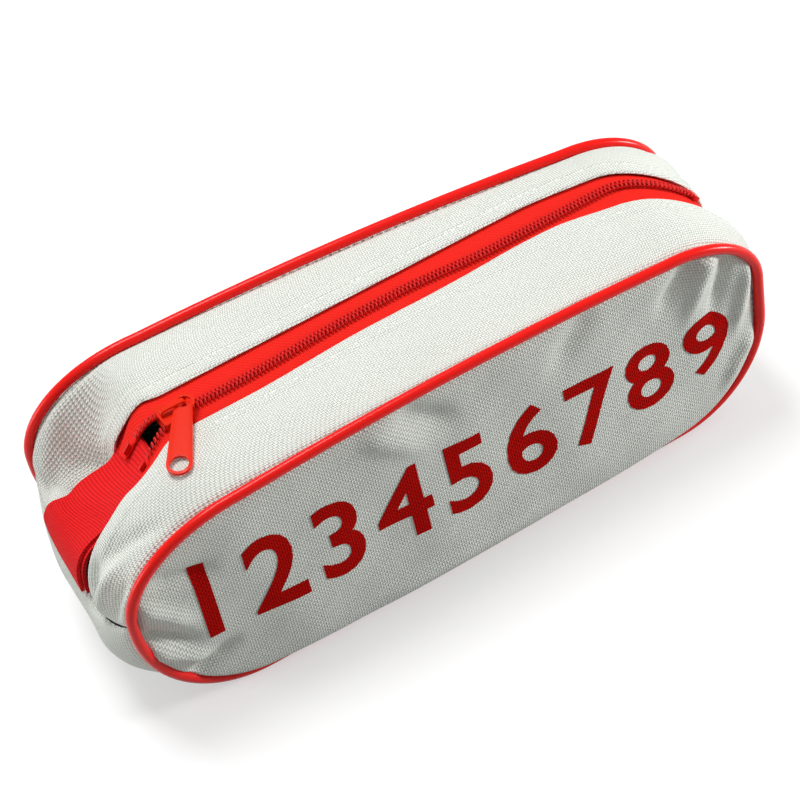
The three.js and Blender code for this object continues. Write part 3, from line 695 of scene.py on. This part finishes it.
def panel(side, swell, sag, seed):
    def place(i, j):
        x, z, bulge = panel_points(swell, sag, i, j)
        away = near_seam(x, z)
        loose = slack(x, z, seed) * PANEL_SLACK * ramp(away, 0, 14)
        if side < 0:
            folds = creases(x, z, FRONT_CREASES)
        else:
            folds = creases(-x * 0.9, z, FRONT_CREASES) * 0.7  # the front's, turned round and fainter
        loose = loose + folds * ramp(away, 0, 6)
        points = np.stack([x, side * (half_depth(x) + bulge + loose - seam_dip(away)), z], 1)
        return points, np.stack([x, z], 1), np.stack([x + z, np.maximum(away - TUCK, 0)], 1)

    return place


FRONT_PANEL = panel(-1, FRONT_SWELL, FRONT_SAG, 3)
BACK_PANEL = panel(1, BACK_SWELL, BACK_SAG, 4)
front = cloth(
    "front_panel_cloth", count(LENGTH, FRONT_STEP), count(HEIGHT, FRONT_STEP), FRONT_PANEL, (0, -1, 0)
)
back = cloth("back_panel_cloth", count(LENGTH, BACK_STEP), count(HEIGHT, BACK_STEP), BACK_PANEL, (0, 1, 0))
for piece, node_name in ((front, "front_panel"), (back, "back_panel")):
    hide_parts(node_name)
    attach(piece, "pouch")


# ---- Piping ----

CORD_END = 0.2  # the cord's two ends stop this far to either side of the middle
CORD_JOIN = 2


def piping(name, side, node_name):
    """A round cord drawn along the outline, with its two ends butted under the pouch."""
    top = TOP_EDGE.at(np.linspace(0, 1, 161))
    bottom = BOTTOM_EDGE.at(np.linspace(0, 1, 141))
    near = bottom[bottom[:, 0] < -CORD_JOIN][::-1]
    far = bottom[bottom[:, 0] > CORD_JOIN][::-1]
    ends = [[(x, PIPING_RADIUS)] for x in (-CORD_END, CORD_END)]
    loop = np.concatenate([ends[0], near[:-1], top[1:-1], far[1:], ends[1]])
    bpy.ops.curve.primitive_nurbs_path_add()
    obj = bpy.context.object
    obj.data.splines.clear()
    spline = obj.data.splines.new("POLY")
    spline.points.add(len(loop) - 1)
    for point, (x, z) in zip(spline.points, loop):
        place = (np.array([x, side * half_depth(x), z]) + ORIGIN) * MM
        point.co = (*place, 1)
    obj.data.twist_mode = "MINIMUM"
    obj.data.bevel_depth = PIPING_RADIUS * MM
    obj.data.bevel_resolution = 5
    obj.data.use_fill_caps = True
    alone(obj)
    bpy.ops.object.convert(target="MESH")
    obj = bpy.context.object
    smooth(obj, 50)
    settle(obj, name, VINYL)
    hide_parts(node_name)
    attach(obj, "pouch")


piping("front_piping_cord", -1, "front_piping")
piping("back_piping_cord", 1, "back_piping")


# ---- Gusset ----

GUSSET_ACROSS = 90
GUSSET_SLACK = 0.7
END_DIP = 0.5
END_DIP_REACH = 2.2


def end_dip(from_end):
    """How far the cloth dives in at the end seams."""
    return END_DIP * ramp(from_end, END_DIP_REACH, 0)


def bottom_place(i, j):
    edge = BOTTOM_EDGE.at(i)
    reach = half_depth(edge[:, 0]) - TUCK
    y = reach * (2 * j - 1)
    away = reach - np.abs(y)
    s = i * BOTTOM_RUN
    ends = np.minimum(i, 1 - i) * BOTTOM_RUN
    loose = slack(s, y, 7) * GUSSET_SLACK * ramp(away, 0, 12) * ramp(edge[:, 1], 6, 22)
    points = skin(BOTTOM_RAILS, i, y, loose - seam_dip(away + TUCK) - end_dip(ends))
    return points, np.stack([s, y], 1), np.stack([s + y, np.minimum(away, ends)], 1)


gusset = cloth("bottom_gusset_cloth", count(BOTTOM_RUN, 2), count(GUSSET_ACROSS, 2), bottom_place, (0, 0, -1))
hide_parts("bottom_gusset")
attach(gusset, "pouch")


# ---- Top strips and tapes, each in two halves that meet at the middle of the zip ----

HEM = 7.0  # width of the cloth that is turned under beside the zip
HEM_STEP = 0.55
FOLD_ROUND, FOLD_ROUND_REACH = 0.8, 1.1
STRIP_SLACK = 0.6
STRIP_ACROSS = 44
STITCH_LINE = 5.0  # from the folded edge
GROOVE, GROOVE_WIDTH = 0.35, 0.5
TAPE_EDGE = 0.6  # from the zip's middle to a tape
TAPE_CLOSES = 0.52  # and this much less past the coil's end
TAPE_RISES = 0.7  # share of its depth by which a tape comes up at the far end's seam
TAPE_FROM = crest_share(-107)
COIL_END_SHARE = crest_share(FLAP_END) + 48 / TOP_RUN
MIDDLE = crest_share(2)
HALVES = {"strap_half": (0.0, MIDDLE), "far_half": (MIDDLE, 1.0)}

# Lines of the folds: distance along the crest from the strap end's seam, and Y
TOP_CREASES = (
    ((2, -30), (30, -35), 3.0, 2.8),
    ((6, -24), (26, -25), 2.6, -2.6),
    ((2, -38), (24, -42), 2.2, -1.8),
    ((26, -28), (50, -38), 3.5, -1.8),
    ((56, 19), (36, 33), 5.0, -4.6),
    ((12, 34), (40, 42), 4.0, 1.6),
    ((24, 28), (8, 34), 4.5, -2.0),
    ((TOP_RUN - 34, -20), (TOP_RUN - 8, -26), 4.0, 1.2),
    ((TOP_RUN - 40, 22), (TOP_RUN - 10, 26), 4.0, 1.0),
)


def nodes_of(word, kind, half):
    """The solids whose place one half of a strip, tape or coil takes."""
    if half == "strap_half":
        return f"{word}_{kind}_strap_end", f"{word}_{kind}_flap"
    return (f"{word}_{kind}_far_end",)


def strip_edges(side, share):
    outer = side * (half_depth(TOP_EDGE.at(share)[:, 0]) - TUCK)
    return outer, fold_y(TOP_CREST.at(share)[:, 0], side)


def tucked_under(side, share, from_fold):
    """Behind the strap the cloth runs down until the strap stands over its edge."""
    x = TOP_CREST.at(share)[:, 0]
    lap = lap_under(x)
    return STRAP_TUCK * ramp(from_fold, lap + TUCK_EASE, lap) * between(x, *TUCK_ALONG) * (side > 0)


def strip_surface(side, share, y):
    """How far the strip's cloth stands out from the gusset's smooth form."""
    outer, inner = strip_edges(side, share)
    from_fold, from_piping = np.abs(y - inner), np.abs(y - outer)
    s = share * TOP_RUN
    hem = HEM_STEP * ramp(from_fold, HEM + 1.2, HEM - 0.8)
    hem = hem - FOLD_ROUND * ramp(from_fold, FOLD_ROUND_REACH, 0) ** 2
    free = ramp(from_piping, 2, 14) * ramp(from_fold, 2, 10)
    loose = slack(s, y, 11 + side) * STRIP_SLACK * free
    loose = loose + creases(s, y, TOP_CREASES) * ramp(from_piping, 0, 5)
    width = np.maximum(np.abs(outer - inner), 1)
    swell = np.sin(np.pi * np.clip(from_fold / width, 0, 1)) ** 2 * ramp(width, 10, 22) * ramp(s, 40, 80)
    groove = GROOVE * np.exp(-(((from_fold - STITCH_LINE) / GROOVE_WIDTH) ** 2)) * ramp(s, 40, 60)
    sewn = groove + end_dip(np.minimum(s, TOP_RUN - s)) + seam_dip(from_piping + TUCK)
    return hem + loose + swell - sewn - tucked_under(side, share, from_fold)


def strip_place(side, start, end):
    def place(i, j):
        share = start + i * (end - start)
        outer, inner = strip_edges(side, share)
        y = outer + (inner - outer) * j
        s = share * TOP_RUN
        points = skin(TOP_RAILS, share, y, strip_surface(side, share, y))
        seam = np.stack([s, np.minimum(np.abs(y - outer), s + 0.3)], 1)
        return points, np.stack([s, y], 1), seam

    return place


def tape_place(side, start, end):
    def place(i, j):
        share = start + i * (end - start)
        x = TOP_CREST.at(share)[:, 0]
        edge = TAPE_EDGE + parting(x) - TAPE_CLOSES * ramp(share, COIL_END_SHARE, COIL_END_SHARE + 0.02)
        y = zip_y(x) + side * (edge + (TAPE_WIDTH - edge) * j)
        points = skin(TOP_RAILS, share, y, TAPE_TOP * (1 - TAPE_RISES * ramp(share, 0.985, 1)))
        s = share * TOP_RUN
        return points, np.stack([s, y - zip_y(x)], 1), no_seam(s)

    return place


def bend_with_flap(obj):
    """Puts the piece's place into its mesh."""
    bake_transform(obj)


BAND_WIDTH = 7.0
BAND_THICKNESS = 0.6
BAND_GAP = 0.35
BAND_LEAN = 0.3
BAND_FROM, BAND_TO = crest_share(-100), crest_share(106)


def band_place(side):
    """Seam allowance that stays along the piping, inside the strip that swings."""

    def place(i, j):
        share = BAND_FROM + i * (BAND_TO - BAND_FROM)
        outer, _ = strip_edges(side, share)
        y = outer - side * BAND_WIDTH * j
        out = -CLOTH - BAND_GAP - BAND_LEAN * j - seam_dip(BAND_WIDTH * j + TUCK)
        s = share * TOP_RUN
        return skin(TOP_RAILS, share, y, out), np.stack([s, y], 1), no_seam(s)

    return place


for word, side in SIDES:
    length = (BAND_TO - BAND_FROM) * TOP_RUN
    band = cloth(
        f"{word}_seam_band", count(length, 3), 6, band_place(side), (0, 0, 1), thickness=BAND_THICKNESS
    )
    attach(band, "pouch")

for word, side in SIDES:
    for half, (start, end) in HALVES.items():
        length = (end - start) * TOP_RUN
        shape = strip_place(side, start, end)
        strip = cloth(f"{word}_strip_{half}", count(length, 1.5), count(STRIP_ACROSS, 1.2), shape, (0, 0, 1))
        shape = tape_place(side, max(start, TAPE_FROM), end)
        tape = cloth(f"{word}_tape_{half}", count(length, 3), 8, shape, (0, 0, 1), TAPE, TAPE_THICKNESS)
        for piece, kind, slot in ((strip, "strip", "shell"), (tape, "tape", "zip_tape")):
            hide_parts(*nodes_of(word, kind, half))
            bend_with_flap(piece)


# ---- Coil: one turn is made, repeated along a straight line, and then laid along the zip ----

COIL_PITCH = 1.6
COIL_START = -103.0
COIL_RADIUS = 1.12
COIL_WIRE = 0.36
COIL_SQUASH = 0.62
COIL_LEAN = 0.35
COIL_ASIDE = 0.78  # from the zip's middle to the middle of a coil
COIL_OUT = -0.2
COIL_PHASE = {-1: 0.25, 1: 0.75}  # the two coils lie half a turn apart


def coil(name, side, half):
    start, end = (crest_share(COIL_START), MIDDLE) if half == "strap_half" else (MIDDLE, COIL_END_SHARE)
    turns = int((end - start) * TOP_RUN / COIL_PITCH)
    if half == "strap_half":
        start = end - turns * COIL_PITCH / TOP_RUN  # no gap where the halves meet
    bpy.ops.mesh.primitive_torus_add(
        major_radius=COIL_RADIUS,
        minor_radius=COIL_WIRE,
        major_segments=12,
        minor_segments=6,
        rotation=(0, np.pi / 2, 0),
    )
    obj = bpy.context.object
    freeze(obj)
    bpy.ops.transform.resize(value=(1, 1, COIL_SQUASH))
    freeze(obj)
    lean = points_of(obj)
    lean[:, 0] += lean[:, 2] * COIL_LEAN
    put_points(obj, lean)
    repeat(obj, turns, COIL_PITCH)
    flat = points_of(obj)
    share = start + (flat[:, 0] + COIL_PHASE[side] * COIL_PITCH) / TOP_RUN
    x = TOP_CREST.at(share)[:, 0]
    y = zip_y(x) + side * (COIL_ASIDE + flat[:, 1] + parting(x))
    place_points(obj, skin(TOP_RAILS, share, y, COIL_OUT + flat[:, 2]))
    open_mesh(obj)
    bpy.ops.mesh.normals_make_consistent(inside=False)
    close_mesh()
    smooth(obj)
    settle(obj, name, NYLON)
    return obj


for word, side in SIDES:
    for half in HALVES:
        piece = coil(f"{word}_coil_{half}", side, half)
        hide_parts(*nodes_of(word, "coil", half))
        bend_with_flap(piece)


# ---- Strap: two layers of webbing, one over the other ----

WEBBING_THICKNESS = 1.35
STRAP_FROM = 0.3 / TOP_RUN
STRAP_TO = crest_share(-100)
STRAP_BED = TAPE_TOP - TAPE_THICKNESS - 3.9
STRAP_BED_AT_SEAM = -0.5
BED_RISES = (-127, -138)

# Each layer's height over the bed, and how far its front edge is drawn back
STRAP_LAYERS = (("strap_inner_layer", 1.4, 0.0), ("strap_outer_layer", 3.0, 1.8))


def strap_place(height, drawn_back):
    def place(i, j):
        share = STRAP_FROM + i * (STRAP_TO - STRAP_FROM)
        x = TOP_CREST.at(share)[:, 0]
        bed = STRAP_BED + (STRAP_BED_AT_SEAM - STRAP_BED) * ramp(x, *BED_RISES)
        y = STRAP_OFFSET + (j - 0.5) * STRAP_WIDTH
        y = np.where(y < STRAP_OFFSET, y + drawn_back * (0.5 - j) * 2, y)
        slung = STRAP_SLING * between(x, *SLING_ALONG) * ramp(y, *SLING_ACROSS)
        s = share * TOP_RUN
        return skin(TOP_RAILS, share, y, bed + height + slung), np.stack([s, y], 1), no_seam(s)

    return place


strap_steps = count((STRAP_TO - STRAP_FROM) * TOP_RUN, 1.5)
under_layer, over_layer = (
    cloth(name, strap_steps, 24, strap_place(height, drawn_back), (-1, 0, 1), WEBBING, WEBBING_THICKNESS)
    for name, height, drawn_back in STRAP_LAYERS
)
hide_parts("end_strap")
for piece in (under_layer, over_layer):
    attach(piece, "pouch")


# ---- Print on the front: a row of numbers, cut into small faces so that it follows the cloth ----

PRINT_FROM, PRINT_TO = -108.0, 117.0
PRINT_LOW = 33.0
PRINT_FALL = 3  # the row's foot comes down by this towards the far end
PRINT_TALL = (37.0, 28.0)
PRINT_BOLD = 0.017  # share of the numbers' own size
PRINT_STEP = 1.3
PRINT_BEFORE = 3  # it starts this far in front of the cloth
PRINT_LIFT = 0.24
PRINT_FILM = 0.1


def printed_numbers():
    bpy.ops.object.text_add()
    obj = bpy.context.object
    obj.data.body = "1 2 3 4 5 6 7 8 9"
    obj.data.space_word = 0.3
    obj.data.resolution_u = 4
    # The bevel round the numbers makes them bolder. Its back half is cut away, and the rest pressed flat.
    obj.data.bevel_depth = PRINT_BOLD
    obj.data.bevel_resolution = 0
    alone(obj)
    bpy.ops.object.convert(target="MESH")
    obj = bpy.context.object
    open_mesh(obj)
    bpy.ops.mesh.remove_doubles(threshold=0.003)
    bpy.ops.mesh.bisect(plane_co=(0, 0, 0), plane_no=(0, 0, 1), clear_inner=True)
    close_mesh()
    flat = points_of(obj)
    low, high = flat.min(0), flat.max(0)
    spread = (flat - low) / np.maximum(high - low, TINY)
    x = PRINT_FROM + spread[:, 0] * (PRINT_TO - PRINT_FROM)
    tall = PRINT_TALL[0] + spread[:, 0] * (PRINT_TALL[1] - PRINT_TALL[0])
    z = PRINT_LOW - PRINT_FALL * spread[:, 0] + spread[:, 1] * tall
    put_points(obj, np.stack([x, 0 * x, z], 1))
    open_mesh(obj)
    cuts = (
        ((1, 0, 0), np.arange(PRINT_FROM + PRINT_STEP, PRINT_TO, PRINT_STEP)),
        ((0, 0, 1), np.arange(PRINT_LOW - PRINT_FALL, PRINT_LOW + PRINT_TALL[0], PRINT_STEP)),
    )
    for across, places in cuts:
        for place in places:
            bpy.ops.mesh.select_all(action="SELECT")
            bpy.ops.mesh.bisect(plane_co=[place * part for part in across], plane_no=across)
    close_mesh()
    flat = points_of(obj)
    x, z = flat[:, 0], flat[:, 2]
    low = outline_bottom(x, TUCK)
    i = np.arccos(-x / (HALF_LENGTH - TUCK)) / np.pi
    j = np.sqrt((z - low) / (outline_top(x, TUCK) - low))
    points, cloth_map, seam_map = FRONT_PANEL(i, j)
    points[:, 1] -= PRINT_BEFORE
    place_points(obj, points)
    set_map(obj, "cloth", cloth_map)
    set_map(obj, "seam", seam_map)
    for layer in [entry for entry in obj.data.uv_layers if entry.name not in ("cloth", "seam")]:
        obj.data.uv_layers.remove(layer)
    open_mesh(obj)
    bpy.ops.mesh.remove_doubles(threshold=0.00001)
    close_mesh()
    face(obj, (0, -1, 0))
    apply(
        obj,
        "SHRINKWRAP",
        target=front,
        wrap_method="PROJECT",
        use_project_y=True,
        use_positive_direction=True,
        use_negative_direction=False,
        wrap_mode="ON_SURFACE",
    )
    lifted = points_of(obj)
    lifted[:, 1] -= PRINT_LIFT * MM
    put_points(obj, lifted)
    apply(obj, "SOLIDIFY", thickness=PRINT_FILM * MM, offset=-1)
    smooth(obj, SHEET_ANGLE)
    settle(obj, "front_print", PRINT)
    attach(obj, "pouch")


printed_numbers()


# ---- Stitches along the folded edges beside the zip: one is made, repeated, and laid along the seam ----

STITCH_PITCH = 3.2
STITCH_HALF_SIZE = (1.15, 0.24, 0.2)
STITCH_LIFT = 0.02
STITCHES_FROM, STITCHES_TO = crest_share(-96), crest_share(128)


def stitches(name, side, half):
    start, end = HALVES[half]
    start, end = max(start, STITCHES_FROM), min(end, STITCHES_TO)
    bpy.ops.mesh.primitive_uv_sphere_add(segments=8, ring_count=6, radius=1, rotation=(0, np.pi / 2, 0))
    obj = bpy.context.object
    bpy.ops.transform.resize(value=STITCH_HALF_SIZE)
    freeze(obj)
    repeat(obj, int((end - start) * TOP_RUN / STITCH_PITCH), STITCH_PITCH)
    flat = points_of(obj)
    share = start + (flat[:, 0] + STITCH_PITCH / 2) / TOP_RUN
    y = fold_y(TOP_CREST.at(share)[:, 0], side) + side * STITCH_LINE + flat[:, 1]
    out = strip_surface(side, share, y) + STITCH_LIFT + flat[:, 2]
    place_points(obj, skin(TOP_RAILS, share, y, out))
    smooth(obj)
    settle(obj, name, THREAD)
    bend_with_flap(obj)


for word, side in SIDES:
    for half in HALVES:
        stitches(f"{word}_stitches_{half}", side, half)


# ---- Finishes on the solids that show as they are ----


def dress(node_name, material, bevel=0.0, angle=30):
    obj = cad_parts[node_name]
    paint(obj, material)
    if bevel:
        weld = obj.modifiers.new("weld", "WELD")
        weld.merge_threshold = 0.00002
        round_edges = obj.modifiers.new("bevel", "BEVEL")
        round_edges.width = bevel * MM
        round_edges.segments = 3
        round_edges.limit_method = "ANGLE"
        round_edges.angle_limit = np.radians(angle)


for name in ("zip_slider", "zip_pull"):
    dress(name, LACQUER, 0.28)
for name in ("front_top_stop", "back_top_stop", "bottom_stop"):
    dress(name, NYLON, 0.25)
for number in range(1, 5):
    dress(f"rack_{number}", GREEN, 0.3, 40)
dress("rules_leaflet", PAPER)


# ---- Tiles: one is made, and repeated face to face in the place of each run ----

TILE_THICK, TILE_TALL, TILE_WIDE = 6.2, 30.0, 22.0
TILE_GAP = 0.12
TILE_CORNER = 2.2
TILE_EDGE = 0.55
TILES_IN_RUN = 13


def one_tile():
    """A tile with rounded corners and softened edges."""
    bpy.ops.mesh.primitive_cube_add(size=1)
    obj = bpy.context.object
    bpy.ops.transform.resize(value=((TILE_THICK - TILE_GAP) * MM, TILE_TALL * MM, TILE_WIDE * MM))
    freeze(obj)
    open_mesh(obj, "DESELECT")
    close_mesh()
    for edge in obj.data.edges:
        ends = [obj.data.vertices[i].co for i in edge.vertices]
        edge.select = abs(ends[0].x - ends[1].x) > MM
    bpy.ops.object.mode_set(mode="EDIT")
    bpy.ops.mesh.select_mode(type="EDGE")
    bpy.ops.mesh.bevel(offset=TILE_CORNER * MM, segments=4, affect="EDGES")
    close_mesh()
    apply(obj, "BEVEL", width=TILE_EDGE * MM, segments=2, limit_method="ANGLE", angle_limit=np.radians(50))
    smooth(obj, 40)
    return obj


tile = one_tile()


def tiles_for(node_name, many):
    low, high = (np.array(corner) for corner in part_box(node_name))
    alone(tile)
    bpy.ops.object.duplicate()
    obj = bpy.context.object
    if many > 1:
        repeat(obj, many, TILE_THICK * MM)
    made = points_of(obj)
    shift = (low + high) / 2 - (made.min(0) + made.max(0)) / 2
    obj.location = shift.tolist()
    settle(obj, node_name + "_tiles", IVORY)
    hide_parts(node_name)
    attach(obj, "pouch")


for number in range(1, 9):
    tiles_for(f"tile_run_{number}", TILES_IN_RUN)
for number in (1, 2):
    tiles_for(f"joker_tile_{number}", 1)
alone(tile)
bpy.ops.object.delete()


# ---- Floor, light and camera ----

FLOOR_SIZE = 8
FLOOR_BELOW = 0.0005
FLOOR_GLOW = (("From Min", 0.3), ("From Max", 1.0), ("To Min", 0.42), ("To Max", 1.0))

bpy.ops.mesh.primitive_plane_add(size=FLOOR_SIZE, location=(0, 0, -FLOOR_BELOW))
floor = bpy.context.object
floor.name = "floor"
floor_finish = finish("pale_floor", (0.97, 0.97, 0.97), 1.0, 0.0)
rays = node(floor_finish, "ShaderNodeLightPath")
seen = maths(floor_finish, "MAXIMUM", rays.outputs["Is Camera Ray"], rays.outputs["Is Glossy Ray"])
tint(floor_finish, seen, (0.42, 0.42, 0.42), (0.62, 0.62, 0.62))
# Away from the pouch the floor fades into the white backdrop.
ground = node(floor_finish, "ShaderNodeTexCoord").outputs["Object"]
distance = node(floor_finish, "ShaderNodeVectorMath", operation="LENGTH")
link(floor_finish, ground, distance.inputs[0])
fade = node(floor_finish, "ShaderNodeMapRange", interpolation_type="SMOOTHSTEP")
for socket, value in FLOOR_GLOW:
    fade.inputs[socket].default_value = value
link(floor_finish, distance.outputs["Value"], fade.inputs["Value"])
shader_of(floor_finish).inputs["Emission Color"].default_value = (1, 1, 1, 1)
glow = maths(floor_finish, "MULTIPLY", seen, fade.outputs["Result"])
link(floor_finish, glow, shader_of(floor_finish).inputs["Emission Strength"])
floor.data.materials.append(floor_finish)

SURROUND_LIGHT = 0.31
BACKDROP_LIGHT = 1.0

world = bpy.data.worlds.new("studio")
bpy.context.scene.world = world
world.use_nodes = True
tree = world.node_tree
surround = tree.nodes["Background"]
backdrop = tree.nodes.new("ShaderNodeBackground")
for light, strength in ((surround, SURROUND_LIGHT), (backdrop, BACKDROP_LIGHT)):
    light.inputs["Color"].default_value = (1, 1, 1, 1)
    light.inputs["Strength"].default_value = strength
sight = tree.nodes.new("ShaderNodeLightPath")
either = tree.nodes.new("ShaderNodeMixShader")
tree.links.new(sight.outputs["Is Camera Ray"], either.inputs[0])
tree.links.new(surround.outputs[0], either.inputs[1])
tree.links.new(backdrop.outputs[0], either.inputs[2])
tree.links.new(either.outputs[0], tree.nodes["World Output"].inputs["Surface"])

LAMPS_AIM = Vector((0, 0, 0.04))


def lamp(name, place, size, power):
    bpy.ops.object.light_add(type="AREA", location=place)
    light = bpy.context.object
    light.name = name
    light.data.shape = "SQUARE"
    light.data.size = size
    light.data.energy = power
    light.rotation_euler = (LAMPS_AIM - Vector(place)).to_track_quat("-Z", "Y").to_euler()


lamp("overhead_lamp", (-0.1, 0.4, 1.3), 0.6, 14.0)
lamp("strap_end_lamp", (-1.3, 0.45, 0.4), 0.6, 7.0)
lamp("front_lamp", (1.3, -0.42, 0.4), 0.3, 15.0)

AZIMUTH, ELEVATION, ROLL = np.radians((-19.26, 46.52, -11.84))
CAMERA_DISTANCE = 983.7
AIM = np.array([1.9, 13.8, 32.5])
FOCAL_PIXELS = 2587.9
PHOTO_PIXELS = 800
SENSOR = 36

outward = np.array([np.sin(AZIMUTH), -np.cos(AZIMUTH), 0])
away = np.cos(ELEVATION) * outward + np.sin(ELEVATION) * np.array([0, 0, 1])
level = np.cross(-away, (0, 0, 1))
level /= np.linalg.norm(level)
upright = np.cross(level, -away)
right = np.cos(ROLL) * level + np.sin(ROLL) * upright
above = -np.sin(ROLL) * level + np.cos(ROLL) * upright
eye = (AIM + ORIGIN + away * CAMERA_DISTANCE) * MM
bpy.ops.object.camera_add()
camera = bpy.context.object
camera.name = "photo_camera"
turn = np.eye(4)
turn[:3, 0], turn[:3, 1], turn[:3, 2], turn[:3, 3] = right, above, away, eye
camera.matrix_world = Matrix(turn.tolist())
camera.data.sensor_width = SENSOR
camera.data.lens = FOCAL_PIXELS / PHOTO_PIXELS * SENSOR
camera.data.clip_end = 20
bpy.context.scene.camera = camera
bpy.context.scene.view_settings.view_transform = "Standard"
